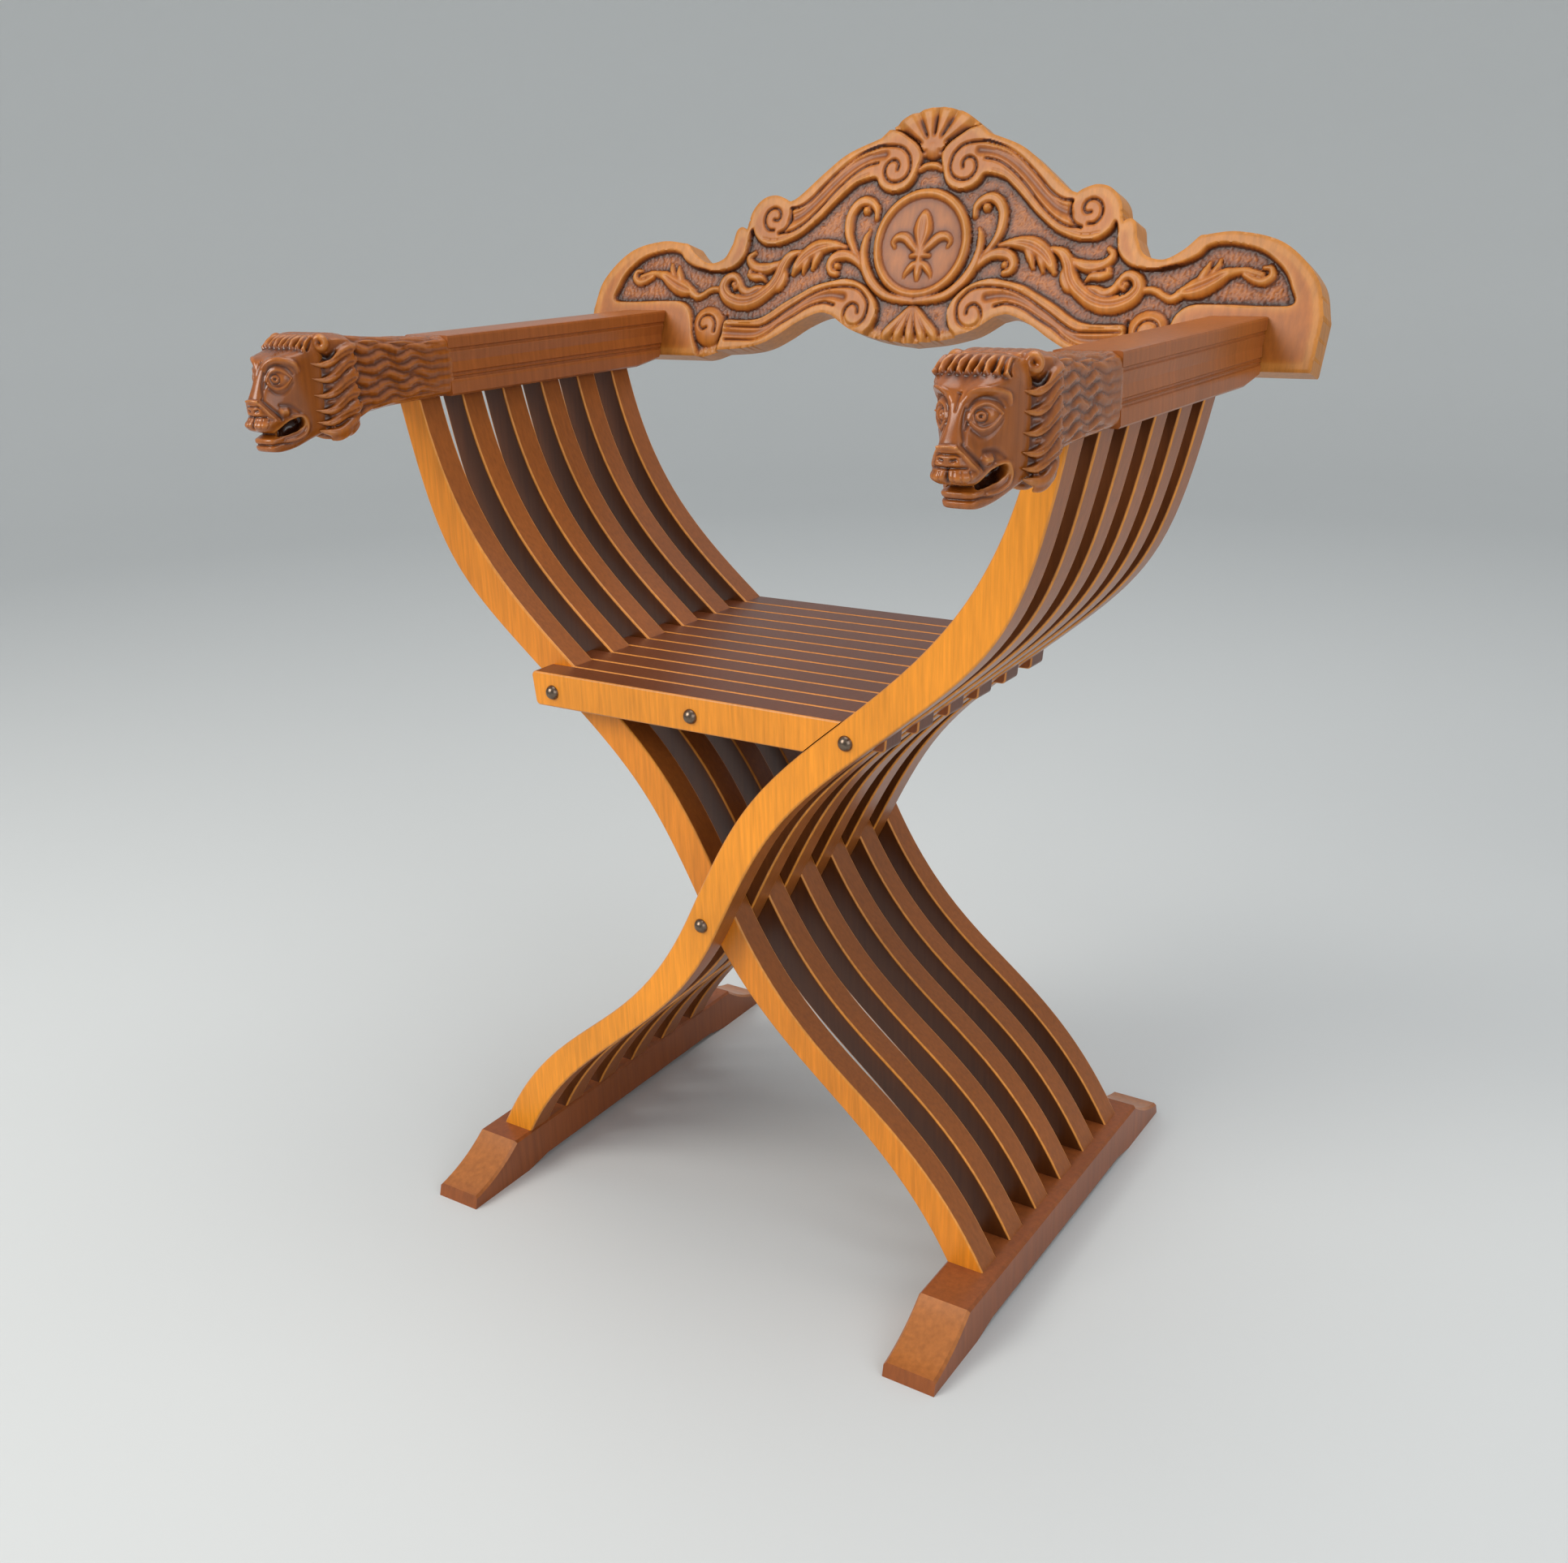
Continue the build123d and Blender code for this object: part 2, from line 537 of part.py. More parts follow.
with BuildPart() as crest_rail:
    with BuildSketch(rail_plane):
        with BuildLine():
            for run in (lower_volute, lower_scroll, lug_corner, shoulder, cove, cusp,
                        upper_volute, upper_scroll, shell_rim):
                Spline(*run)
            Polyline(*lug)
            mirror(about=Plane.YZ)
        make_face()
    extrude(amount=-rail_thickness)
    with BuildSketch(rail_plane):
        with BuildLine():
            for run in (ground_bottom, ground_lower, ground_lobe, ground_cove, ground_upper,
                        ground_top, ground_crown):
                Spline(*run)
            Polyline(ground_lower[-1], *ground_end)
            Line(ground_cove[-1], ground_upper[0])
            mirror(about=Plane.YZ)
        make_face()
    extrude(amount=-ground_depth, mode=Mode.SUBTRACT)
    # the medallion, its dish and the lily in it
    with BuildSketch(rail_plane.offset(-ground_depth)):
        with Locations((0, medallion_height)):
            Circle(medallion_radius)
    extrude(amount=medallion_rise)
    with BuildSketch(rail_plane.offset(medallion_rise - ground_depth)):
        with Locations((0, medallion_height)):
            Circle(dish_radius)
    extrude(amount=-dish_depth, mode=Mode.SUBTRACT)
    with BuildSketch(rail_plane.offset(medallion_rise - ground_depth - dish_depth)):
        for x, height, length, width, turn in petals:
            with Locations(Location((x * rail_half_length, height * rail_rise, 0), (0, 0, turn))):
                Ellipse(length, width)
    extrude(amount=petal_height)
    # a ring round the eye of each volute
    with BuildSketch(rail_plane):
        for x, height in volute_eyes:
            with Locations((x, height), (-x, height)):
                Circle(eye_ring[1])
                Circle(eye_ring[0], mode=Mode.SUBTRACT)
    extrude(amount=-eye_groove, mode=Mode.SUBTRACT)
    # ribs of the shell
    with BuildSketch(rail_plane):
        for rib in range(shell_ribs):
            turn = shell_spread * (rib - (shell_ribs - 1) / 2)
            with Locations(Location((0, shell_foot, 0), (0, 0, turn)) * Location((0, shell_rib_start, 0))):
                Rectangle(shell_rib_width, shell_rib_length, align=(Align.CENTER, Align.MIN))
    extrude(amount=-shell_groove_depth, mode=Mode.SUBTRACT)
    # the slot that slides down over the left arm's dovetail
    slot_start = Plane(rail_plane.origin, x_dir=(1, 0, 0), z_dir=rail_plane.y_dir)
    with BuildSketch(slot_start):
        with Locations((-arm_offset, 0)):
            Polygon(
                (-dovetail_neck / 2 - dovetail_clearance, -dovetail_clearance),
                (dovetail_neck / 2 + dovetail_clearance, -dovetail_clearance),
                (dovetail_neck / 2 + dovetail_flare + dovetail_clearance, dovetail_depth + dovetail_clearance),
                (-dovetail_neck / 2 - dovetail_flare - dovetail_clearance, dovetail_depth + dovetail_clearance),
                align=None,
            )
    extrude(amount=dovetail_length + dovetail_clearance, mode=Mode.SUBTRACT)
crest_rail.part.label = "crest_rail"
export_step(crest_rail.part, "parts/crest_rail.step")
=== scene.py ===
import bmesh
import bpy
import math
import numpy as np
from mathutils import Matrix, Vector


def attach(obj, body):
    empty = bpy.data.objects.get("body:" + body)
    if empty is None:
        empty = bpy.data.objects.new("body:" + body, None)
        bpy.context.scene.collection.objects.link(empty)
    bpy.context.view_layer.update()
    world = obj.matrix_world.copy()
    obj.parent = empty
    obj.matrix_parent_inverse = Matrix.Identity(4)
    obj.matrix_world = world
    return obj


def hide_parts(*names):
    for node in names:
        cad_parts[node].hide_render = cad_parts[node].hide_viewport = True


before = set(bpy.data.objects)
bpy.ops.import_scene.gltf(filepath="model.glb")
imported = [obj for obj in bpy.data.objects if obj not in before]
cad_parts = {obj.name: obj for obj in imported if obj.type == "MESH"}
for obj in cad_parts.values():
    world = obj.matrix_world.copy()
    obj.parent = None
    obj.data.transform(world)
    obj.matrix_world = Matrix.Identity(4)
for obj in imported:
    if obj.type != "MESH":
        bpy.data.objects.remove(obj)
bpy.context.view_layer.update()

# Camera, level with the crest rail, ahead of the chair and to its right.
turn, tilt, roll = math.radians(33.678), math.radians(19.928), math.radians(-1.823)
aim = Vector((-0.01478, 0.0088, 0.34878))
distance = 1.3078
back = Vector((math.sin(turn) * math.cos(tilt), -math.cos(turn) * math.cos(tilt), math.sin(tilt)))
right = Vector((math.cos(turn), math.sin(turn), 0))
up = back.cross(right)
rolled_right = right * math.cos(roll) + up * math.sin(roll)
rolled_up = up * math.cos(roll) - right * math.sin(roll)
camera = bpy.data.objects.new("camera", bpy.data.cameras.new("camera"))
camera.data.lens = 36.587
camera.data.sensor_width = 36
bpy.context.scene.collection.objects.link(camera)
bearing = Matrix((rolled_right, rolled_up, back)).transposed().to_4x4()
camera.matrix_world = Matrix.Translation(aim + back * distance) @ bearing
bpy.context.scene.camera = camera

# Studio: a round pale floor whose rim curves up into a pale wall, a large soft key light from
# the left front, a lower fill from the right, and an even pale sky.
studio = bmesh.new()
rim = [studio.verts.new((x, 0, z)) for x, z in (
    (0, 0), (3.2, 0), (3.6, 0.03), (3.95, 0.14), (4.25, 0.34), (4.45, 0.62), (4.56, 1.0), (4.6, 1.5), (4.6, 3.2))]
profile = [studio.edges.new(pair) for pair in zip(rim, rim[1:])]
bmesh.ops.spin(studio, geom=rim + profile, cent=(0, 0, 0), axis=(0, 0, 1), dvec=(0, 0, 0),
               angle=math.radians(360), steps=72, use_merge=True)
bmesh.ops.remove_doubles(studio, verts=studio.verts, dist=0.0001)
bmesh.ops.recalc_face_normals(studio, faces=studio.faces)
backdrop = bpy.data.objects.new("backdrop", bpy.data.meshes.new("backdrop"))
studio.to_mesh(backdrop.data)
studio.free()
bpy.context.scene.collection.objects.link(backdrop)
for face in backdrop.data.polygons:
    face.use_smooth = True
paper = bpy.data.materials.new("studio_paper")
paper.use_nodes = True
paper.node_tree.nodes["Principled BSDF"].inputs["Base Color"].default_value = (0.62, 0.64, 0.64, 1)
paper.node_tree.nodes["Principled BSDF"].inputs["Roughness"].default_value = 0.9
backdrop.data.materials.append(paper)

world = bpy.data.worlds.new("studio_sky")
world.use_nodes = True
world.node_tree.nodes["Background"].inputs["Color"].default_value = (0.93, 0.96, 1.0, 1)
world.node_tree.nodes["Background"].inputs["Strength"].default_value = 0.55
bpy.context.scene.world = world
lamp_aim = Vector((0, 0, 0.45))
for name, place, width, power, tint in (
    ("key", (-1.3, -2.3, 2.1), 1.6, 62, (1.0, 0.96, 0.9)),
    ("fill", (2.4, -1.2, 1.3), 1.8, 22, (0.95, 0.97, 1.0)),
    ("top", (0.3, 0.4, 2.8), 1.8, 24, (1.0, 0.98, 0.95)),
):
    lamp = bpy.data.objects.new(name, bpy.data.lights.new(name, "AREA"))
    lamp.data.size = width
    lamp.data.energy = power
    lamp.data.color = tint
    lamp.location = place
    lamp.rotation_euler = (lamp_aim - Vector(place)).to_track_quat("-Z", "Y").to_euler()
    bpy.context.scene.collection.objects.link(lamp)
bpy.context.scene.view_settings.view_transform = "Standard"

# Slats: twelve S-shaped beech slats, sawn from plank and tenoned into an arm and a sled. They are
# stained and varnished, honey-coloured on the two outermost faces. Between the layers the faces are
# painted dark as shade, and the arrises are painted bright as their highlight, with rubbed wear.


def varnished_wood(name, zones, grain_turn=0.0, grain_scale=360.0, roughness=0.34, coat=0.12, carved=False):
    """Stained wood whose colours are chosen by the way it faces, or on a carving by its relief.

    Zones are pairs of a position and a colour. They run from the front face (0) over the edges
    (0.5) to the back face (1), or from the deepest hollow (0), where shade is painted, to the highest ridge (1),
    where a highlight is painted.
    """
    material = bpy.data.materials.new(name)
    material.use_nodes = True
    tree = material.node_tree
    shader = tree.nodes["Principled BSDF"]
    shader.inputs["Roughness"].default_value = roughness
    shader.inputs["Specular IOR Level"].default_value = 0.36
    shader.inputs["Coat Weight"].default_value = coat
    shader.inputs["Coat Roughness"].default_value = 0.22
    place = tree.nodes.new("ShaderNodeTexCoord")
    along = tree.nodes.new("ShaderNodeMapping")
    along.inputs["Rotation"].default_value = (0, grain_turn, 0)
    along.inputs["Scale"].default_value = (1, 1, 0.06)
    tree.links.new(place.outputs["Object"], along.inputs["Vector"])
    grain = tree.nodes.new("ShaderNodeTexNoise")
    grain.inputs["Scale"].default_value = grain_scale
    grain.inputs["Detail"].default_value = 6
    grain.inputs["Roughness"].default_value = 0.6
    tree.links.new(along.outputs["Vector"], grain.inputs["Vector"])
    cloud = tree.nodes.new("ShaderNodeTexNoise")
    cloud.inputs["Scale"].default_value = 9
    cloud.inputs["Detail"].default_value = 3
    tree.links.new(place.outputs["Object"], cloud.inputs["Vector"])
    chosen = tree.nodes.new("ShaderNodeMapRange")
    chosen.inputs["From Min"].default_value = -1
    if carved:
        relief = tree.nodes.new("ShaderNodeAttribute")
        relief.attribute_name = "proud"
        tree.links.new(relief.outputs["Fac"], chosen.inputs["Value"])
    else:
        facing = tree.nodes.new("ShaderNodeSeparateXYZ")
        tree.links.new(place.outputs["Normal"], facing.inputs["Vector"])
        tree.links.new(facing.outputs["Y"], chosen.inputs["Value"])
    stain = tree.nodes.new("ShaderNodeValToRGB")
    for at, tone in zones[2:]:
        stain.color_ramp.elements.new(at)
    for element, (at, tone) in zip(stain.color_ramp.elements, zones):
        element.position = at
        element.color = (*tone, 1)
    tree.links.new(chosen.outputs["Result"], stain.inputs["Fac"])
    shades = []
    for pattern, darkest, lightest in ((grain, 0.8, 1.12), (cloud, 0.88, 1.1)):
        shade = tree.nodes.new("ShaderNodeMapRange")
        shade.inputs["From Min"].default_value = 0.3
        shade.inputs["From Max"].default_value = 0.7
        shade.inputs["To Min"].default_value = darkest
        shade.inputs["To Max"].default_value = lightest
        tree.links.new(pattern.outputs["Fac"], shade.inputs["Value"])
        shades.append(shade)
    both = tree.nodes.new("ShaderNodeMath")
    both.operation = "MULTIPLY"
    for shade, socket in zip(shades, both.inputs):
        tree.links.new(shade.outputs["Result"], socket)
    tinted = tree.nodes.new("ShaderNodeVectorMath")
    tinted.operation = "SCALE"
    tree.links.new(stain.outputs["Color"], tinted.inputs[0])
    tree.links.new(both.outputs["Value"], tinted.inputs["Scale"])
    tree.links.new(tinted.outputs["Vector"], shader.inputs["Base Color"])
    pores = tree.nodes.new("ShaderNodeBump")
    pores.inputs["Strength"].default_value = 0.12
    pores.inputs["Distance"].default_value = 0.0004
    tree.links.new(grain.outputs["Fac"], pores.inputs["Height"])
    tree.links.new(pores.outputs["Normal"], shader.inputs["Normal"])
    return material


def squared(front, arris, edge, rear):
    """The zones of a squared slat, over its front face, arris, sawn edge, arris and back face."""
    return ((0.007, front), (0.04, arris), (0.32, arris), (0.44, edge), (0.56, edge), (0.68, arris), (0.96, arris),
            (0.993, rear))


# the inner faces' colour is painted shade between the layers; the arris colour is a painted highlight on the rounded
# edges, with some rubbed wear
slat_edge, slat_arris_highlight, slat_inner_shade = (0.3, 0.085, 0.014), (0.7, 0.26, 0.035), (0.11, 0.03, 0.006)
for run, lean, honey in (("a", -38, (0.82, 0.285, 0.016)), ("b", 38, (0.74, 0.235, 0.013))):
    for number in range(1, 7):
        front = honey if number == 1 else slat_inner_shade
        rear = honey if number == 6 else slat_inner_shade
        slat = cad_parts[f"slat_{run}_{number}"]
        slat.data.materials.clear()
        slat.data.materials.append(varnished_wood(
            f"slat_wood_{run}_{number}", squared(front, slat_arris_highlight, slat_edge, rear), math.radians(lean)))

# Seat slats: twelve straight beech slats on edge, pinned in turn to the left and the right frame
# and to each other in the middle. Their tops are coloured dark, and their arrises painted bright as a highlight.
# the arris colour is a painted highlight along the rounded edges of the seat slats
seat_edge, seat_arris_highlight, seat_inner = (0.13, 0.034, 0.01), (0.6, 0.23, 0.045), (0.28, 0.08, 0.018)
seat_honey = (0.77, 0.265, 0.016)
for half, outer in (("left", 1), ("right", 6)):
    for number in range(1, 7):
        front = seat_honey if number == outer and half == "left" else seat_inner
        rear = seat_honey if number == outer and half == "right" else seat_inner
        seat_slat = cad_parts[f"seat_{half}_{number}"]
        seat_slat.data.materials.clear()
        seat_slat.data.materials.append(varnished_wood(
            f"seat_wood_{half}_{number}", squared(front, seat_arris_highlight, seat_edge, rear), math.radians(90)))

# Sled feet: two flat beech runners with hollowed toes, mortised for the tenons of the slats and
# stained a red brown, painted lighter as a highlight where their faces turn between end and side, as on the slopes of
# the toes.
# the slope colour is a painted highlight on faces turned between end and side, such as the slopes of the toes
sled_end, sled_slope_highlight, sled_side = (0.27, 0.07, 0.014), (0.42, 0.14, 0.03), (0.27, 0.072, 0.016)
sled_wood = varnished_wood("sled_wood", (
    (0.01, sled_end), (0.1, sled_slope_highlight), (0.35, sled_slope_highlight), (0.46, sled_side), (0.54, sled_side), (0.65, sled_slope_highlight),
    (0.99, sled_end)), grain_scale=240)
for hand in ("left", "right"):
    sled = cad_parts[f"sled_{hand}"]
    sled.data.materials.clear()
    sled.data.materials.append(sled_wood)

# Rods and caps: turned steel rods through every layer, at the crossing, at either end of the
# seat and along its middle, with small domed caps pressed on their ends and browned with age.
browned_steel = bpy.data.materials.new("browned_steel")
browned_steel.use_nodes = True
steel = browned_steel.node_tree.nodes["Principled BSDF"]
steel.inputs["Metallic"].default_value = 1
steel.inputs["Roughness"].default_value = 0.3
mottle = browned_steel.node_tree.nodes.new("ShaderNodeTexNoise")
mottle.inputs["Scale"].default_value = 500
shade = browned_steel.node_tree.nodes.new("ShaderNodeValToRGB")
shade.color_ramp.elements[0].color = (0.09, 0.06, 0.045, 1)
shade.color_ramp.elements[1].color = (0.26, 0.2, 0.15, 1)
over_metal = browned_steel.node_tree.nodes.new("ShaderNodeTexCoord")
browned_steel.node_tree.links.new(over_metal.outputs["Object"], mottle.inputs["Vector"])
browned_steel.node_tree.links.new(mottle.outputs["Fac"], shade.inputs["Fac"])
browned_steel.node_tree.links.new(shade.outputs["Color"], steel.inputs["Base Color"])
for name in ("crossing_rod", "left_seat_rod", "right_seat_rod", "middle_rod_left", "middle_rod_right",
             "crossing_rod_caps", "left_seat_rod_caps", "right_seat_rod_caps", "middle_rod_cap_front",
             "middle_rod_cap_back"):
    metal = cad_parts[name]
    metal.data.materials.clear()
    metal.data.materials.append(browned_steel)

# Arms: square beech bars with a bead along the top edge and a hollow between two grooves on
# either face, mortised underneath for the slats. At the back they are cut to the lean of the
# crest rail and rise a little underneath.
arm_stain = (0.34, 0.096, 0.018)
arm_wood = varnished_wood("arm_wood", ((0.1, arm_stain), (0.9, arm_stain)), grain_scale=240)
arm_middle = 0.277
stack_middle = 0.0088
bar_front = -0.093 + stack_middle
bar_length = 0.323
rise_front = 0.1436 + stack_middle
rise_slope = 0.1408
rail_front = Vector((0, stack_middle + 0.17745, 0.6677))
rail_lean = math.radians(16.8)
rail_normal = Vector((0, -math.cos(rail_lean), math.sin(rail_lean)))
half_section = ((0.0, 0.706), (0.0205, 0.706), (0.0225, 0.7055), (0.023, 0.704), (0.023, 0.6965), (0.0216, 0.6955),
                (0.0216, 0.694), (0.0227, 0.693), (0.0218, 0.6855), (0.0227, 0.678), (0.0216, 0.677),
                (0.0216, 0.6757), (0.0229, 0.675), (0.0216, 0.674), (0.0216, 0.6727), (0.0228, 0.6717), (0.023, 0.67),
                (0.023, 0.6615), (0.0215, 0.66), (0.0, 0.66))
for hand, side in (("left", -1), ("right", 1)):
    bar = bmesh.new()
    outline = [bar.verts.new((x, bar_front, z)) for x, z in half_section]
    outline += [bar.verts.new((-x, bar_front, z)) for x, z in reversed(half_section[1:-1])]
    end = bar.faces.new(outline)
    drawn = bmesh.ops.extrude_face_region(bar, geom=[end])["geom"]
    far = [v for v in drawn if isinstance(v, bmesh.types.BMVert)]
    bmesh.ops.translate(bar, vec=(0, bar_length, 0), verts=far)
    bmesh.ops.bisect_plane(bar, geom=bar.verts[:] + bar.edges[:] + bar.faces[:], dist=1e-6, clear_inner=True,
                           plane_co=rail_front + rail_normal * 0.0003, plane_no=rail_normal)
    bmesh.ops.edgeloop_fill(bar, edges=[e for e in bar.edges if e.is_boundary])
    bmesh.ops.bisect_plane(bar, geom=bar.verts[:] + bar.edges[:] + bar.faces[:], dist=1e-6,
                           plane_co=(0, rise_front, 0), plane_no=(0, 1, 0))
    for v in bar.verts:
        if v.co.y > rise_front + 0.0001 and v.co.z < 0.67:
            v.co.z += 0.0001 + (v.co.y - rise_front) * rise_slope
    bmesh.ops.translate(bar, vec=(side * arm_middle, 0, 0), verts=bar.verts)
    bmesh.ops.recalc_face_normals(bar, faces=bar.faces)
    piece = bpy.data.objects.new(f"arm_{hand}_bar", bpy.data.meshes.new(f"arm_{hand}_bar"))
    bar.to_mesh(piece.data)
    bar.free()
    piece.data.materials.append(arm_wood)
    bpy.context.scene.collection.objects.link(piece)
    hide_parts(f"arm_{hand}")
    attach(piece, "frame_b" if hand == "left" else "frame_a")

# Lions' heads: carved from the front of each arm in the same beech, open-mouthed, with slanting
# eyes, a fringe of curls from ear to ear and a ruff whose locks run back along the arm. Figures
# are in millimetres across from the arm's middle, and are brought to metres at the end.
millimetre = 0.001


def flow(points, steps=6):
    """A line for the gouge, drawn smoothly through points of any number of values."""
    points = np.array(points, float)
    padded = np.vstack((2 * points[0] - points[1], points, 2 * points[-1] - points[-2]))
    drawn = []
    for k in range(len(points) - 1):
        a, b, c, d = padded[k:k + 4]
        for t in np.linspace(0, 1, steps, endpoint=False):
            drawn.append(0.5 * (2 * b + (c - a) * t + (2 * a - 5 * b + 4 * c - d) * t * t
                                + (3 * b - a - 3 * c + d) * t ** 3))
    return np.vstack((drawn, points[-1]))


def nearest(places, line):
    """How near each place is to a line, and where along the line its nearest point lies."""
    best = np.full(len(places), 1e9)
    at = np.zeros(len(places))
    for k, (start, stop) in enumerate(zip(line, line[1:])):
        run = stop - start
        share = np.clip((places - start) @ run / max(run @ run, 1e-12), 0, 1)
        away = np.linalg.norm(places - start - share[:, None] * run, axis=1)
        closer = away < best
        best[closer] = away[closer]
        at[closer] = k + share[closer]
    return best, at


def carve(mesh, strokes):
    """Works both halves with strokes of (kind, points of x, y, z, half width and height).

    Each stroke is first brought onto the wood. A height above nought leaves a ridge and one
    below nought cuts: a 'v' to a sharp bottom, a 'u' to a round one, a 'flat' to an even one.
    """
    count = len(mesh.vertices)
    places = np.empty(count * 3)
    mesh.vertices.foreach_get("co", places)
    places = places.reshape(-1, 3)
    normals = np.empty(count * 3)
    mesh.vertices.foreach_get("normal", normals)
    normals = normals.reshape(-1, 3)
    folded = places.copy()
    folded[:, 0] = abs(folded[:, 0])
    change = np.zeros(count)
    for kind, points in strokes:
        line = flow(points)
        reach = line[:, 3].max() + 3
        low, high = line[:, :3].min(0) - reach, line[:, :3].max(0) + reach
        near = np.flatnonzero(((folded > low) & (folded < high)).all(1))
        if not len(near):
            continue
        for k, place in enumerate(line[:, :3].copy()):
            line[k, :3] = folded[near[((folded[near] - place) ** 2).sum(1).argmin()]]
        for easing in range(2):
            line[1:-1, :3] = (line[:-2, :3] + 2 * line[1:-1, :3] + line[2:, :3]) / 4
        away, at = nearest(folded[near], line[:, :3])
        along = np.arange(len(line))
        half = np.interp(at, along, line[:, 3])
        height = np.interp(at, along, line[:, 4])
        share = np.clip(away / np.maximum(half, 1e-6), 0, 1)
        if kind == "v":
            form = 1 - share
        elif kind == "u":
            form = 0.5 + 0.5 * np.cos(np.pi * share)
        else:
            form = np.clip((1 - share) / 0.35, 0, 1)
            form = form * form * (3 - 2 * form)
        change[near] += height * form
    places += normals * change[:, None]
    mesh.vertices.foreach_set("co", places.ravel())
    mesh.update()


def loft(rings):
    """A closed skin bridged through rings of points given on the right half, front to back."""
    skin = bmesh.new()
    loops = []
    for ring in rings:
        right_half = [skin.verts.new(p) for p in ring]
        left_half = [skin.verts.new((-x, y, z)) for x, y, z in ring[1:-1]]
        around = right_half + left_half[::-1]
        loops.append([skin.edges.new((a, b)) for a, b in zip(around, around[1:] + around[:1])])
    for one, two in zip(loops, loops[1:]):
        bmesh.ops.bridge_loops(skin, edges=one + two)
    bmesh.ops.holes_fill(skin, edges=loops[0] + loops[-1], sides=0)
    bmesh.ops.triangulate(skin, faces=[f for f in skin.faces if len(f.verts) > 4])
    bmesh.ops.recalc_face_normals(skin, faces=skin.faces)
    return skin


def finished(skin, name, **modifiers):
    """The mesh of a skin once its modifiers are applied."""
    block = bpy.data.objects.new(name, bpy.data.meshes.new(name))
    skin.to_mesh(block.data)
    skin.free()
    bpy.context.scene.collection.objects.link(block)
    for kind, settings in modifiers.items():
        step = block.modifiers.new(kind, kind)
        for setting, value in settings.items():
            setattr(step, setting, value)
    bpy.context.view_layer.update()
    made = bpy.data.meshes.new_from_object(block.evaluated_get(bpy.context.evaluated_depsgraph_get()))
    bpy.data.objects.remove(block)
    return made


def mark_relief_for_shading(mesh, reach, rounds=30):
    """Marks how far each point of a carving stands proud of what surrounds it, or lies below, for the carved
    materials to paint shade into the hollows and a highlight onto the ridges.
    """
    count = len(mesh.vertices)
    places = np.empty(count * 3)
    mesh.vertices.foreach_get("co", places)
    places = places.reshape(-1, 3)
    normals = np.empty(count * 3)
    mesh.vertices.foreach_get("normal", normals)
    ends = np.empty(len(mesh.edges) * 2, int)
    mesh.edges.foreach_get("vertices", ends)
    one, two = ends.reshape(-1, 2).T
    joined = np.bincount(one, minlength=count) + np.bincount(two, minlength=count)
    eased = places
    for easing in range(rounds):
        eased = np.stack([np.bincount(one, eased[two, k], count) + np.bincount(two, eased[one, k], count)
                          for k in range(3)], 1) / joined[:, None]
    proud = ((places - eased) * normals.reshape(-1, 3)).sum(1) / reach
    mesh.attributes.new("proud", "FLOAT", "POINT").data.foreach_set("value", np.clip(proud, -1, 1))


